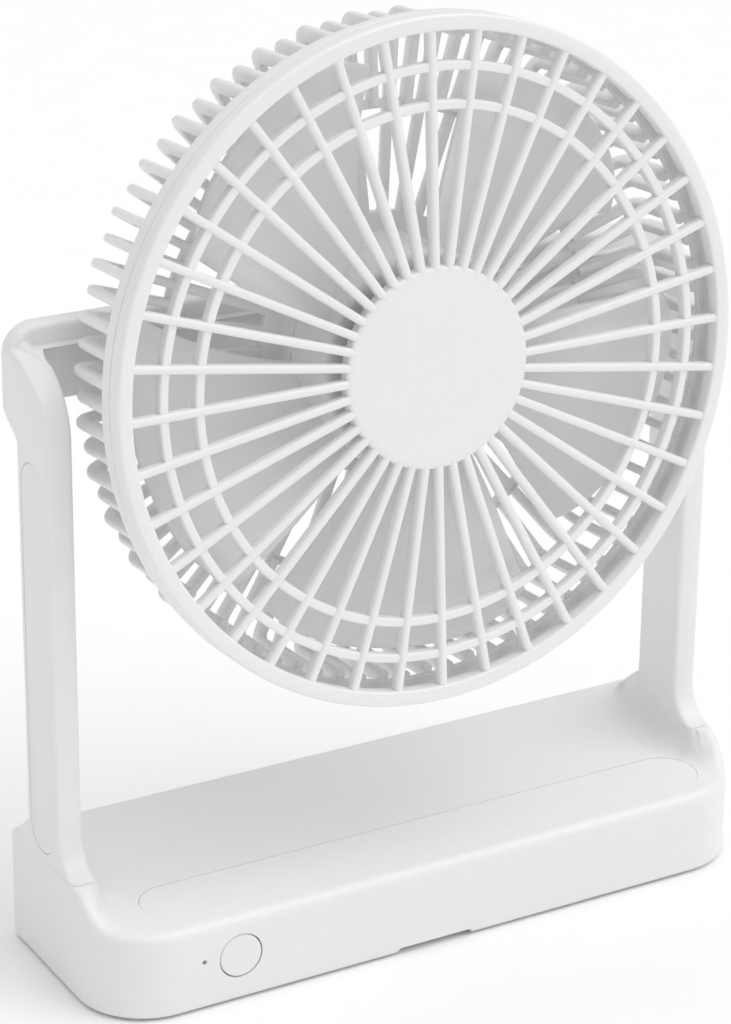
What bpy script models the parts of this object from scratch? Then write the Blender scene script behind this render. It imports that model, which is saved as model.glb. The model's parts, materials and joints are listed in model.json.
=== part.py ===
"""Desk fan: a tilting round fan head carried on the crossbar of an arched frame over a long base.

Metres, +Z up.  The fan faces -Y, +X is to its right as drawn, and the origin is on the surface the
feet stand on, under the middle of the base.
"""
import math

import bmesh
import bpy
from mathutils import Matrix, Vector

MM = 0.001

# ---------------------------------------------------------------- driving dimensions
# head size, which the frame and the base follow
guard_radius = 87.6 * MM
head_side_gap = 2.4 * MM
head_bottom_gap = 37.9 * MM
head_tilt = math.radians(3.88)

# base housing
base_depth = 59.8 * MM
cell_radius = 9.2 * MM
ledge_above_cells = 4.7 * MM
trough_rise = 6.7 * MM
base_wall = 2.2 * MM
base_front_corner = 19.0 * MM
base_rear_corner = 3.0 * MM
base_top_edge = 2.5 * MM
ledge_rear_margin = 3.9 * MM
bottom_plate_thickness = 2.0 * MM
bottom_plate_recess = 0.3 * MM
notch_width = 22.5 * MM
notch_height = 1.4 * MM
notch_centre_x = -3.6 * MM
shoulder_front_y = -20.5 * MM
shoulder_above_ledge = 7.9 * MM
shoulder_step = 0.05 * MM
seat_front_above_ledge = 7.1 * MM
seat_rear_above_ledge = 15.5 * MM
seat_level_share = 0.35
seat_curve = 1.6

# feet and base screws
foot_radius = 5.0 * MM
foot_proud = 0.8 * MM
foot_recess = 1.0 * MM
foot_inset_x = 15.0 * MM
foot_inset_y = 9.5 * MM
screw_shank_radius = 1.0 * MM
screw_head_radius = 2.0 * MM
screw_head_height = 1.0 * MM
screw_length = 7.0 * MM
screw_boss_radius = 2.8 * MM
front_screw_inset_x = 20.0 * MM
front_screw_behind_ledge = 2.5 * MM
rear_screw_inset_x = 28.0 * MM
rear_screw_inset_y = 9.0 * MM

# light strip
diffuser_left_margin = 16.4 * MM
diffuser_right_margin = 9.7 * MM
diffuser_front_margin = 6.0 * MM
diffuser_width = 18.9 * MM
diffuser_lip = 0.8 * MM
diffuser_lip_thickness = 1.0 * MM
led_board_end_margin = 8.0 * MM
led_board_width = 8.0 * MM
led_board_drop = 6.7 * MM
board_thickness = 1.0 * MM
led_size = 2.8 * MM
led_height = 0.8 * MM
led_count = 10

# battery and electronics
cell_length = 65.0 * MM
cell_gap = 2.0 * MM
cell_contact_share = 0.3
control_board_length = 48.0 * MM
control_board_height = 11.5 * MM
control_board_setback = 10.2 * MM
control_board_lead_in = 6.0 * MM
chip_thickness = 1.4 * MM
chip_rise = 3.0 * MM
chip_sizes = (5.0 * MM, 3.0 * MM)
chip_pitch = 9.0 * MM
chip_inset = 14.0 * MM
button_inset_x = 36.6 * MM
button_height = 12.2 * MM
button_radius = 5.8 * MM
button_edge = 0.4 * MM
button_lip = 1.1 * MM
button_lip_thickness = 1.0 * MM
button_travel = 0.8 * MM
plunger_radius = 1.5 * MM
plunger_length = 2.1 * MM
plunger_above_switch = 1.2 * MM
switch_size = 6.0 * MM
switch_depth = 3.4 * MM
indicator_inset_x = 26.3 * MM
indicator_height = 13.0 * MM
indicator_hole_radius = 0.65 * MM
indicator_radius = 1.2 * MM
socket_width = 8.9 * MM
socket_height = 3.2 * MM
socket_depth = 7.3 * MM
socket_wall = 0.3 * MM
socket_back_thickness = 0.9 * MM
socket_tongue_width = 6.4 * MM
socket_tongue_thickness = 0.7 * MM
socket_tongue_setback = 2.0 * MM
socket_centre_height = 8.0 * MM

# frame
arm_thickness = 7.3 * MM
arm_depth = 17.5 * MM
arm_behind_to_base_rear = 13.0 * MM
arm_fillet = 10.0 * MM
arm_foot_reach = 8.4 * MM
crossbar_thickness = 5.6 * MM
crossbar_to_base_rear = 5.1 * MM
arm_bend_below_centre = 9.8 * MM
arm_bend_rise = 19.0 * MM
crossbar_bottom_below_centre = 6.1 * MM
crossbar_face_above_centre = 12.4 * MM
crossbar_top_above_centre = 14.0 * MM
crossbar_end_inset = 2.0 * MM
crossbar_step_below_centre = 14.3 * MM
crossbar_step_rise = 7.0 * MM
frame_corner = 8.0 * MM
tenon_length = 12.0 * MM
tenon_inset = 1.4 * MM
above_plate = 0.9 * MM
cover_thickness = 1.3 * MM
cover_margin = 2.2 * MM
cover_above_seat = 3.0 * MM
cover_top_below_centre = 17.0 * MM
lead_radius = 1.2 * MM
lead_bend = 4.0 * MM
lead_crossing_drop = 14.0 * MM

# head
pivot_behind_cage = 3.9 * MM
guard_split_depth = 4.7 * MM
guard_rim_depth = 9.6 * MM
guard_wall = 2.4 * MM
guard_front_edge = 0.8 * MM
front_rim_width = 4.0 * MM
front_rib_count = 40
front_rib_width = 2.2 * MM
front_rib_growth = 0.06 * MM
front_draw_turn = 1.3  # degrees; drawn turned and turned back, so that no corners lie level
front_rib_recess = 0.3 * MM
front_rib_depth = 3.6 * MM
front_disc_radius = 25.8 * MM
front_ring_a_inset = 12.6 * MM
front_ring_b_inset = 22.1 * MM
front_ring_width = 2.0 * MM
rear_cage_inset = 1.9 * MM
rear_depth = 33.0 * MM
rear_side_wall = 2.7 * MM
rear_corner = 4.5 * MM
rear_strand_count = 80
rear_strand_width = 2.4 * MM
rear_rib_width = 2.7 * MM
rear_web = 0.4 * MM
rear_rim_web = 2.0 * MM
rear_hub_radius = 34.0 * MM
rear_ring_inset = 26.6 * MM
rear_ring_width = 2.0 * MM
motor_boss_wall = 1.6 * MM
motor_boss_depth = 25.0 * MM

# rotor and motor
rotor_hub_radius = 28.5 * MM
rotor_hub_front = 8.0 * MM
rotor_hub_back = 24.4 * MM
rotor_wall = 1.6 * MM
rotor_edge = 2.0 * MM
rotor_boss_radius = 4.0 * MM
rotor_boss_length = 4.6 * MM
blade_count = 5
blade_tip_gap = 6.0 * MM
blade_thickness = 1.6 * MM
blade_front = 7.6 * MM
blade_back = 26.4 * MM
blade_half_angle = math.radians(28.5)
blade_sweep = math.radians(9.0)
blade_bow = 2.4 * MM
blade_tip_rounding = 5.0 * MM
magnet_wall = 2.0 * MM
magnet_length = 11.0 * MM
shaft_radius = 1.5 * MM
air_gap = 1.6 * MM
stator_poles = 9
stator_stack = 8.0 * MM
stator_setback = 0.4 * MM
stator_root = 9.0 * MM
tooth_half_width = 1.9 * MM
tooth_shoe = 2.0 * MM
tooth_shoe_share = 0.42
motor_tube_radius = 4.9 * MM
motor_tube_wall = 0.8 * MM
motor_tube_front = 14.6 * MM
motor_flange_radius = 20.0 * MM
motor_flange_gap = 2.1 * MM
motor_flange_thickness = 1.6 * MM
bearing_length = 3.0 * MM
motor_screw_count = 3
motor_screw_circle = 16.0 * MM

# tilt hinge
pivot_ahead_of_bar = 3.0 * MM
knuckle_radius = 2.9 * MM
knuckle_half_width = 6.2 * MM
knuckle_flange_half = 10.0 * MM
knuckle_flange_height = 6.0 * MM
knuckle_flange_thickness = 1.4 * MM
knuckle_stem_inset = 0.2 * MM
washer_thickness = 0.6 * MM
ear_thickness = 3.0 * MM
ear_radius = 3.2 * MM
pin_radius = 1.25 * MM
bracket_half_width = 15.7 * MM
bracket_thickness = 1.6 * MM
bracket_behind_knuckle = 0.5 * MM
bracket_below_pivot = 3.2 * MM
bracket_above_pivot = 8.0 * MM
bracket_screw_x = 13.2 * MM
bracket_screw_rise = 4.5 * MM
bracket_screw_back_wall = 0.6 * MM

# clearances between pieces
gap = 0.3 * MM
running_gap = 0.15 * MM

# ---------------------------------------------------------------- derived places
arm_inner_x = guard_radius + head_side_gap
frame_half = arm_inner_x + arm_thickness
half_length = frame_half
half_depth = base_depth / 2
base_z = foot_proud
ledge_z = base_z + 2 * cell_radius + ledge_above_cells
rear_top_z = ledge_z + trough_rise
shoulder_z = ledge_z + shoulder_above_ledge
seat_front_z = ledge_z + seat_front_above_ledge
seat_rear_z = ledge_z + seat_rear_above_ledge
ceiling_z = ledge_z - base_wall
plate_low_z = base_z + bottom_plate_recess
plate_top_z = plate_low_z + bottom_plate_thickness
diffuser_half_length = half_length - (diffuser_left_margin + diffuser_right_margin) / 2
diffuser_centre_x = (diffuser_left_margin - diffuser_right_margin) / 2
diffuser_centre_y = -half_depth + diffuser_front_margin + diffuser_width / 2
trough_start_y = diffuser_centre_y + diffuser_width / 2 + ledge_rear_margin
front_screw_y = trough_start_y + front_screw_behind_ledge
cell_centre_y = half_depth - socket_depth - gap - cell_radius
button_x = -half_length + button_inset_x
indicator_x = -half_length + indicator_inset_x
arm_back_y = half_depth - arm_behind_to_base_rear
arm_front_y = arm_back_y - arm_depth
crossbar_back_y = half_depth - crossbar_to_base_rear
crossbar_front_y = crossbar_back_y - crossbar_thickness
head_centre_z = rear_top_z + head_bottom_gap + guard_radius
crossbar_bottom_z = head_centre_z - crossbar_bottom_below_centre
crossbar_face_z = head_centre_z + crossbar_face_above_centre
crossbar_top_z = head_centre_z + crossbar_top_above_centre
arm_bend_z = head_centre_z - arm_bend_below_centre
rear_outer_radius = guard_radius - rear_cage_inset
rear_ring_radius = guard_radius - rear_ring_inset
front_ring_inner = guard_radius - front_rim_width
front_ring_a = guard_radius - front_ring_a_inset
front_ring_b = guard_radius - front_ring_b_inset
blade_tip_radius = rear_outer_radius - rear_side_wall - blade_tip_gap
motor_boss_radius = rotor_hub_radius
motor_flange_back = rear_depth - rear_side_wall - motor_flange_gap
stator_back = rotor_hub_back - stator_setback
stator_radius = rotor_hub_radius - rotor_wall - gap - magnet_wall - air_gap
pivot_depth = rear_depth + pivot_behind_cage
pivot_y = crossbar_front_y - pivot_ahead_of_bar
pivot_z = head_centre_z - pivot_depth * math.sin(head_tilt)
bracket_front_y = pivot_y + knuckle_radius + bracket_behind_knuckle
REACH = 5.0 * MM


# ---------------------------------------------------------------- scene and materials
def clear_scene():
    for old in list(bpy.data.objects):
        bpy.data.objects.remove(old, do_unlink=True)


def new_collection(name):
    collection = bpy.data.collections.new(name)
    bpy.context.scene.collection.children.link(collection)
    return collection


def new_material(name, colour, roughness, metallic=0.0):
    material = bpy.data.materials.new(name)
    material.use_nodes = True
    shader = material.node_tree.nodes["Principled BSDF"]
    shader.inputs["Base Color"].default_value = (*colour, 1.0)
    shader.inputs["Roughness"].default_value = roughness
    shader.inputs["Metallic"].default_value = metallic
    material.diffuse_color = (*colour, 1.0)
    return material


clear_scene()
parts = new_collection("desk_fan")
cutters = new_collection("cutters")
housing_white = new_material("moulded_white", (0.86, 0.86, 0.86), 0.42)
guard_white = new_material("guard_white", (0.88, 0.88, 0.88), 0.40)
rotor_white = new_material("rotor_white", (0.80, 0.80, 0.80), 0.38)
diffuser_white = new_material("milky_diffuser", (0.87, 0.87, 0.86), 0.35)
rubber_grey = new_material("foot_rubber", (0.55, 0.55, 0.55), 0.85)
zinc_steel = new_material("zinc_steel", (0.70, 0.70, 0.70), 0.30, 1.0)
laminate_steel = new_material("laminated_steel", (0.30, 0.30, 0.32), 0.45, 1.0)
board_green = new_material("board_green", (0.04, 0.22, 0.10), 0.50)
cell_wrap = new_material("cell_wrap", (0.10, 0.25, 0.45), 0.40)
switch_black = new_material("switch_black", (0.05, 0.05, 0.05), 0.50)
lead_black = new_material("lead_black", (0.03, 0.03, 0.03), 0.55)


# ---------------------------------------------------------------- modelling helpers
SIDE_VIEW = Matrix(((0, 0, 1), (1, 0, 0), (0, 1, 0)))
FRONT_VIEW = Matrix(((1, 0, 0), (0, 0, -1), (0, 1, 0)))
TOP_VIEW = Matrix.Identity(3)


def finish(thing, material):
    """Give a sub-part its material and keep its round faces smooth."""
    thing.data.materials.clear()
    thing.data.materials.append(material)
    thing.data.shade_smooth()
    thing.data.set_sharp_from_angle(angle=math.radians(30))
    return thing


def as_cutter(thing):
    """A guide shape that only cuts or joins."""
    thing.hide_render = True
    thing.display_type = "WIRE"
    return thing


def mesh_object(name, shape, collection):
    """Turn a bmesh into an object with its faces pointing out."""
    bmesh.ops.recalc_face_normals(shape, faces=shape.faces)
    mesh = bpy.data.meshes.new(name)
    shape.to_mesh(mesh)
    shape.free()
    thing = bpy.data.objects.new(name, mesh)
    collection.objects.link(thing)
    if collection is cutters:
        as_cutter(thing)
    return thing


def box(name, low, high, collection=parts):
    """A box between two opposite corners."""
    shape = bmesh.new()
    made = bmesh.ops.create_cube(shape, size=1.0)["verts"]
    bmesh.ops.scale(shape, vec=[b - a for a, b in zip(low, high)], verts=made)
    bmesh.ops.translate(shape, vec=[(a + b) / 2 for a, b in zip(low, high)], verts=made)
    return mesh_object(name, shape, collection)


def rod(name, radius, start, end, collection=parts, sides=32):
    """A cylinder from one point to another."""
    start = Vector(start)
    along = Vector(end) - start
    shape = bmesh.new()
    made = bmesh.ops.create_cone(shape, cap_ends=True, segments=sides, radius1=radius,
                                 radius2=radius, depth=along.length)["verts"]
    turn = along.to_track_quat("Z", "Y").to_matrix()
    bmesh.ops.rotate(shape, cent=(0, 0, 0), matrix=turn, verts=made)
    bmesh.ops.translate(shape, vec=start + along / 2, verts=made)
    return mesh_object(name, shape, collection)


def drawn_mesh(name, curve, view, collection):
    """Make a curve a welded mesh in its view, and drop the curve."""
    drawing = bpy.data.objects.new(name + "_drawing", curve)
    bpy.context.scene.collection.objects.link(drawing)
    graph = bpy.context.evaluated_depsgraph_get()
    mesh = bpy.data.meshes.new_from_object(drawing.evaluated_get(graph))
    shape = bmesh.new()
    shape.from_mesh(mesh)
    bmesh.ops.remove_doubles(shape, verts=shape.verts, dist=1e-6)
    shape.transform(view.to_4x4())
    bpy.data.objects.remove(drawing, do_unlink=True)
    bpy.data.meshes.remove(mesh)
    return mesh_object(name, shape, collection)


def flat(name, loops, low, high, view=TOP_VIEW, collection=parts):
    """An outline with its holes, as thick as low to high across the view."""
    curve = bpy.data.curves.new(name, "CURVE")
    curve.dimensions = "2D"
    curve.fill_mode = "BOTH"
    curve.extrude = (high - low) / 2
    for loop in loops:
        spline = curve.splines.new("POLY")
        spline.points.add(len(loop) - 1)
        for point, place in zip(spline.points, loop):
            point.co = (*place, 0.0, 1.0)
        spline.use_cyclic_u = True
    shift = Matrix.Translation(view @ Vector((0, 0, (low + high) / 2)))
    return drawn_mesh(name, curve, shift @ view.to_4x4(), collection)


def tube(name, path, radius, collection=parts):
    """A round tube along a list of points."""
    curve = bpy.data.curves.new(name, "CURVE")
    curve.dimensions = "3D"
    curve.bevel_depth = radius
    curve.bevel_resolution = 2
    curve.use_fill_caps = True
    spline = curve.splines.new("POLY")
    spline.points.add(len(path) - 1)
    for point, place in zip(spline.points, path):
        point.co = (*place, 1.0)
    return drawn_mesh(name, curve, TOP_VIEW, collection)


def turned(name, profile, closed, steps, collection=parts):
    """A profile at +X turned round local Z, listed down its outer side."""
    shape = bmesh.new()
    points = [shape.verts.new((radius, 0.0, height)) for radius, height in profile]
    for first, second in zip(points, points[1:]):
        shape.edges.new((first, second))
    if closed:
        shape.edges.new((points[-1], points[0]))
    mesh = bpy.data.meshes.new(name)
    shape.to_mesh(mesh)
    shape.free()
    thing = bpy.data.objects.new(name, mesh)
    collection.objects.link(thing)
    if collection is cutters:
        as_cutter(thing)
    spin = thing.modifiers.new("turn", "SCREW")
    spin.axis = "Z"
    spin.steps = steps
    spin.render_steps = steps
    spin.use_merge_vertices = True
    spin.merge_threshold = 1e-6
    return thing


def combine(target, tool, operation):
    step = target.modifiers.new(tool.name, "BOOLEAN")
    step.solver = "EXACT"
    step.operation = operation
    step.object = tool
    return target


def cut(target, tool):
    return combine(target, tool, "DIFFERENCE")


def join(target, tool):
    return combine(target, tool, "UNION")


def place(thing, location=(0, 0, 0), rotation=(0, 0, 0), parent=None):
    thing.location = location
    thing.rotation_euler = rotation
    thing.parent = parent
    return thing


def arc(centre, radius, start, end, steps):
    """Points of an arc between two angles in degrees, both ends included."""
    points = []
    for step in range(steps + 1):
        angle = math.radians(start + (end - start) * step / steps)
        points.append((centre[0] + radius * math.cos(angle), centre[1] + radius * math.sin(angle)))
    return points


def pill(half_length_x, half_width_y, centre, steps=8):
    """A stadium outline, long in its first direction."""
    run = half_length_x - half_width_y
    right = arc((centre[0] + run, centre[1]), half_width_y, -90, 90, steps)
    left = arc((centre[0] - run, centre[1]), half_width_y, 90, 270, steps)
    return right + left


def slot_between(angle, step, width, inner, outer, end_radius=0.0):
    """The gap between two straight bars one step apart, seen along the fan's axis.

    angle is the middle of the gap; angles run clockwise from the top, in degrees.
    """
    def edge(radius, side):
        half = math.radians(step / 2) - math.asin(width / 2 / radius)
        turn = math.radians(angle) + side * half
        return (radius * math.sin(turn), radius * math.cos(turn))

    if not end_radius:
        return [edge(inner, -1), edge(outer, -1), edge(outer, 1), edge(inner, 1)]
    middle = inner + end_radius
    turn = math.radians(angle)
    centre = (middle * math.sin(turn), middle * math.cos(turn))
    nose = arc(centre, end_radius, -angle, -angle - 180, 3)[1:-1]
    return [edge(middle, -1), edge(outer, -1), edge(outer, 1), edge(middle, 1)] + nose


# ---------------------------------------------------------------- base
def base_plan(inset):
    """The base's plan outline, drawn in by inset."""
    x = half_length - inset
    y = half_depth - inset
    front = base_front_corner - inset
    rear = max(base_rear_corner - inset, 0.5 * MM)
    loop = arc((-x + front, -y + front), front, 180, 270, 6)
    loop += arc((x - front, -y + front), front, 270, 360, 6)
    loop += arc((x - rear, y - rear), rear, 0, 90, 3)
    loop += arc((-x + rear, y - rear), rear, 90, 180, 3)
    return loop


def base_section(drop, floor_z):
    """Side view of the base top: rounded front edge, flat ledge and hollow rise to the rear edge."""
    run = half_depth - trough_start_y
    rise = trough_rise
    radius = (run ** 2 + rise ** 2) / (2 * rise)
    top = ledge_z - drop
    edge = arc((-half_depth + base_top_edge, top - base_top_edge), base_top_edge, 160, 90, 4)
    reach = run + REACH
    sweep = math.degrees(math.asin(reach / radius))
    hollow = arc((trough_start_y, top + radius), radius, -90, -90 + sweep, 10)
    front_y = -half_depth - REACH
    return [(front_y, floor_z), (front_y, edge[0][1])] + edge + hollow + [(hollow[-1][0], floor_z)]


def base_top_at(y):
    """Height of the base's top surface at a place between its front and rear edges."""
    run = half_depth - trough_start_y
    rise = trough_rise
    radius = (run ** 2 + rise ** 2) / (2 * rise)
    back = max(y - trough_start_y, 0.0)
    return ledge_z + radius - math.sqrt(radius ** 2 - back ** 2)


def base_block(name, inset, drop, low_z, collection):
    """A solid in the base's outer form, smaller by inset at the sides and drop at the top."""
    block = flat(name, [base_plan(inset)], low_z, rear_top_z + REACH, collection=collection)
    far = half_length + REACH
    section = flat(name + "_section", [base_section(drop, low_z - REACH)], -far, far,
                   view=SIDE_VIEW, collection=cutters)
    return combine(block, section, "INTERSECT")


def seat_line():
    """Side view of the cradle that holds an arm's foot, front to back: low in front, high behind."""
    low = seat_front_z
    rise = seat_rear_z - seat_front_z
    front_y = arm_front_y - arm_foot_reach
    bend_y = arm_front_y + arm_depth * seat_level_share
    line = [(front_y, low), (bend_y, low)]
    for step in range(1, 6):
        share = step / 5
        line.append((bend_y + (arm_back_y - bend_y) * share, low + rise * share ** seat_curve))
    return line


def shoulder_section():
    """Side view of the raised end of the base: a ramp from the ledge, the cradle and a rear slope."""
    low = ledge_z - base_wall / 2
    top = shoulder_z
    front_y = arm_front_y - arm_foot_reach - gap
    ramp = []
    for step in range(7):
        share = step / 6
        ease = (1 - math.cos(math.pi * share)) / 2
        ramp.append((shoulder_front_y + (front_y - shoulder_front_y) * share,
                     ledge_z - gap + (top - ledge_z + gap) * ease))
    seat = seat_line()
    seat[0] = (front_y, seat[0][1])
    rear = [(half_depth - base_top_edge, rear_top_z), (half_depth + REACH, rear_top_z),
            (half_depth + REACH, low)]
    return [(shoulder_front_y, low)] + ramp + seat + rear


def arm_tenon(side, grow):
    """Corners of the tongue that an arm puts into the base, made larger by grow."""
    low_x, high_x = sorted((side * (arm_inner_x + tenon_inset), side * (frame_half - tenon_inset)))
    middle_y = (arm_front_y + arm_back_y) / 2
    bottom = plate_top_z + above_plate - grow
    return ((low_x - grow, middle_y - tenon_length / 2 - grow, bottom),
            (high_x + grow, middle_y + tenon_length / 2 + grow, seat_rear_z))


def base_screw_places():
    front_x = half_length - front_screw_inset_x
    rear_x = half_length - rear_screw_inset_x
    rear_y = half_depth - rear_screw_inset_y
    return {"front_left": (-front_x, front_screw_y), "front_right": (front_x, front_screw_y),
            "rear_left": (-rear_x, rear_y), "rear_right": (rear_x, rear_y)}


def foot_places():
    x = half_length - foot_inset_x
    y = half_depth - foot_inset_y
    return {"front_left": (-x, -y), "front_right": (x, -y), "rear_left": (-x, y), "rear_right": (x, y)}


def make_base_shell():
    shell = base_block("base_shell", 0.0, 0.0, base_z, parts)
    shoulders = flat("shoulders", [base_plan(shoulder_step)], ceiling_z, rear_top_z + 4 * REACH,
                     collection=cutters)
    far = half_length + REACH
    ends = flat("shoulder_form", [shoulder_section()], arm_inner_x, far, view=SIDE_VIEW,
                collection=cutters)
    mirrored = flat("shoulder_form_left", [shoulder_section()], -far, -arm_inner_x, view=SIDE_VIEW,
                    collection=cutters)
    join(ends, mirrored)
    combine(shoulders, ends, "INTERSECT")
    join(shell, shoulders)
    cut(shell, base_block("base_cavity", base_wall, base_wall, base_z - REACH, cutters))
    for name, (x, y) in base_screw_places().items():
        boss_top = base_top_at(y) - base_wall / 2
        boss = rod("boss_" + name, screw_boss_radius, (x, y, plate_top_z + gap), (x, y, boss_top),
                   cutters, 16)
        join(shell, boss)
        pilot_top = plate_low_z + screw_length + gap
        pilot = rod("pilot_" + name, screw_shank_radius + gap, (x, y, base_z), (x, y, pilot_top),
                    cutters, 12)
        cut(shell, pilot)
    diffuser = pill(diffuser_half_length, diffuser_width / 2, (diffuser_centre_x, diffuser_centre_y))
    cut(shell, flat("diffuser_opening", [diffuser], ceiling_z - REACH, ledge_z + REACH,
                    collection=cutters))
    wall_y = -half_depth + base_wall
    button_z = base_z + button_height
    cut(shell, rod("button_hole", button_radius + gap, (button_x, -half_depth - REACH, button_z),
                   (button_x, wall_y + REACH, button_z), cutters, 32))
    indicator_z = base_z + indicator_height
    cut(shell, rod("indicator_hole", indicator_hole_radius,
                   (indicator_x, -half_depth - REACH, indicator_z),
                   (indicator_x, wall_y + REACH, indicator_z), cutters, 12))
    socket = pill(socket_width / 2 + gap, socket_height / 2 + gap, (0, base_z + socket_centre_height))
    cut(shell, flat("socket_opening", [socket], -half_depth - REACH, -half_depth + base_wall + REACH,
                    view=FRONT_VIEW, collection=cutters))
    for side, name in ((-1, "left"), (1, "right")):
        low, high = arm_tenon(side, gap)
        cut(shell, box("tenon_slot_" + name, low, high, cutters))
    cut(shell, box("pry_notch", (notch_centre_x - notch_width / 2, -half_depth - REACH, base_z - REACH),
                   (notch_centre_x + notch_width / 2, wall_y + gap, base_z + notch_height), cutters))
    return finish(shell, housing_white)


def make_bottom_plate():
    plate = flat("base_bottom_plate", [base_plan(base_wall + gap)], plate_low_z, plate_top_z)
    for name, (x, y) in foot_places().items():
        cut(plate, rod("foot_recess_" + name, foot_radius + gap, (x, y, base_z - REACH),
                       (x, y, plate_low_z + foot_recess), cutters, 24))
    for name, (x, y) in base_screw_places().items():
        head_top = plate_low_z + screw_head_height + gap
        cut(plate, rod("screw_way_" + name, screw_shank_radius + gap, (x, y, base_z - REACH),
                       (x, y, plate_top_z + REACH), cutters, 12))
        cut(plate, rod("screw_seat_" + name, screw_head_radius + gap, (x, y, base_z - REACH),
                       (x, y, head_top), cutters, 20))
    return finish(plate, housing_white)


def make_feet():
    height = plate_low_z + foot_recess - gap
    for name, (x, y) in foot_places().items():
        foot = rod("foot_" + name, foot_radius, (0, 0, 0), (0, 0, height), sides=24)
        finish(place(foot, (x, y, 0)), rubber_grey)


def screw_mesh(name, shank_radius, head_radius, head_height, length):
    """A pan head screw: its head stands on local Z zero and the shank points up."""
    profile = [(0, length), (shank_radius, length), (shank_radius, head_height),
               (head_radius, head_height), (head_radius, 0), (0, 0)]
    return turned(name, profile, False, 16)


def make_base_screws():
    for name, (x, y) in base_screw_places().items():
        screw = screw_mesh("base_screw_" + name, screw_shank_radius, screw_head_radius,
                           screw_head_height, screw_length)
        finish(place(screw, (x, y, plate_low_z)), zinc_steel)


def make_diffuser():
    half_l = diffuser_half_length - gap
    half_w = diffuser_width / 2 - gap
    centre = (diffuser_centre_x, diffuser_centre_y)
    lip_top = ceiling_z - gap
    lip_low = lip_top - diffuser_lip_thickness
    window = flat("light_diffuser", [pill(half_l, half_w, centre)],
                  lip_top - diffuser_lip_thickness / 2, ledge_z)
    lip = flat("diffuser_lip", [pill(half_l + diffuser_lip, half_w + diffuser_lip, centre)],
               lip_low, lip_top, collection=cutters)
    return finish(join(window, lip), diffuser_white)


def make_led_board():
    low_z = ledge_z - led_board_drop
    half_l = diffuser_half_length - led_board_end_margin
    half_w = led_board_width / 2
    start_x = diffuser_centre_x - half_l
    board = box("led_board", (start_x, diffuser_centre_y - half_w, low_z),
                (start_x + 2 * half_l, diffuser_centre_y + half_w, low_z + board_thickness))
    pitch = 2 * half_l / led_count
    for index in range(led_count):
        x = start_x + pitch * (index + 0.5)
        lamp = box(f"led_{index + 1}", (x - led_size / 2, diffuser_centre_y - led_size / 2,
                                        low_z + board_thickness / 2),
                   (x + led_size / 2, diffuser_centre_y + led_size / 2,
                    low_z + board_thickness + led_height), cutters)
        join(board, lamp)
    return finish(board, board_green)


def make_battery():
    """Two round cells end to end along the base, each with its raised contact at the right."""
    nub_radius = cell_radius * cell_contact_share
    nub = cell_gap / 4
    profile = [(0, cell_length), (nub_radius, cell_length), (nub_radius, cell_length - nub),
               (cell_radius, cell_length - nub), (cell_radius, 0), (0, 0)]
    middle_z = plate_top_z + gap + cell_radius
    for name, start_x in (("left", -cell_length - cell_gap / 2), ("right", cell_gap / 2)):
        cell = turned("battery_cell_" + name, profile, False, 24)
        finish(place(cell, (start_x, cell_centre_y, middle_z), (0, math.pi / 2, 0)), cell_wrap)


def make_control_board():
    front_y = -half_depth + control_board_setback
    low_z = plate_top_z + above_plate
    low_x = indicator_x - control_board_lead_in
    high_x = low_x + control_board_length
    board = box("control_board", (low_x, front_y, low_z),
                (high_x, front_y + board_thickness, low_z + control_board_height))
    for index, width in enumerate(chip_sizes):
        chip_x = high_x - chip_inset + chip_pitch * index
        chip = box(f"chip_{index + 1}", (chip_x, front_y + board_thickness / 2, low_z + chip_rise),
                   (chip_x + width, front_y + board_thickness + chip_thickness,
                    low_z + chip_rise + width), cutters)
        join(board, chip)
    return finish(board, board_green)


def button_depths():
    """Depths behind the front face of the button's lip, stem, plunger and switch."""
    lip = base_wall + gap
    stem = lip + button_lip_thickness
    board = control_board_setback - gap
    switch = board - switch_depth
    plunger = switch - plunger_above_switch
    return lip, stem, plunger, switch, board


def make_button():
    lip, stem, plunger, switch, board = button_depths()
    button_z = base_z + button_height
    face = (button_x, -half_depth, button_z)
    to_front = (math.pi / 2, 0, 0)
    profile = [(0, 0), (button_radius - button_edge, 0), (button_radius, -button_edge),
               (button_radius, -lip),
               (button_radius + button_lip, -lip), (button_radius + button_lip, -stem),
               (plunger_radius, -stem), (plunger_radius, -plunger + gap), (0, -plunger + gap)]
    finish(place(turned("power_button", profile, False, 32), face, to_front), housing_white)
    pin = rod("switch_plunger", plunger_radius, (0, 0, -plunger - plunger_length), (0, 0, -plunger),
              sides=20)
    finish(place(pin, face, to_front), switch_black)
    half = switch_size / 2
    body = box("tact_switch", (button_x - half, -half_depth + switch, button_z - half),
               (button_x + half, -half_depth + board, button_z + half))
    bore_depth = plunger + plunger_length + button_travel + gap
    cut(body, rod("switch_bore", plunger_radius + gap, (button_x, -half_depth, button_z),
                  (button_x, -half_depth + bore_depth, button_z), cutters, 20))
    finish(body, switch_black)


def make_indicator():
    z = base_z + indicator_height
    front_y = -half_depth + base_wall + gap
    back_y = -half_depth + control_board_setback - gap
    lamp = rod("indicator_lens", indicator_radius, (0, front_y, 0), (0, back_y, 0), sides=20)
    return finish(place(lamp, (indicator_x, 0, z)), diffuser_white)


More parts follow.
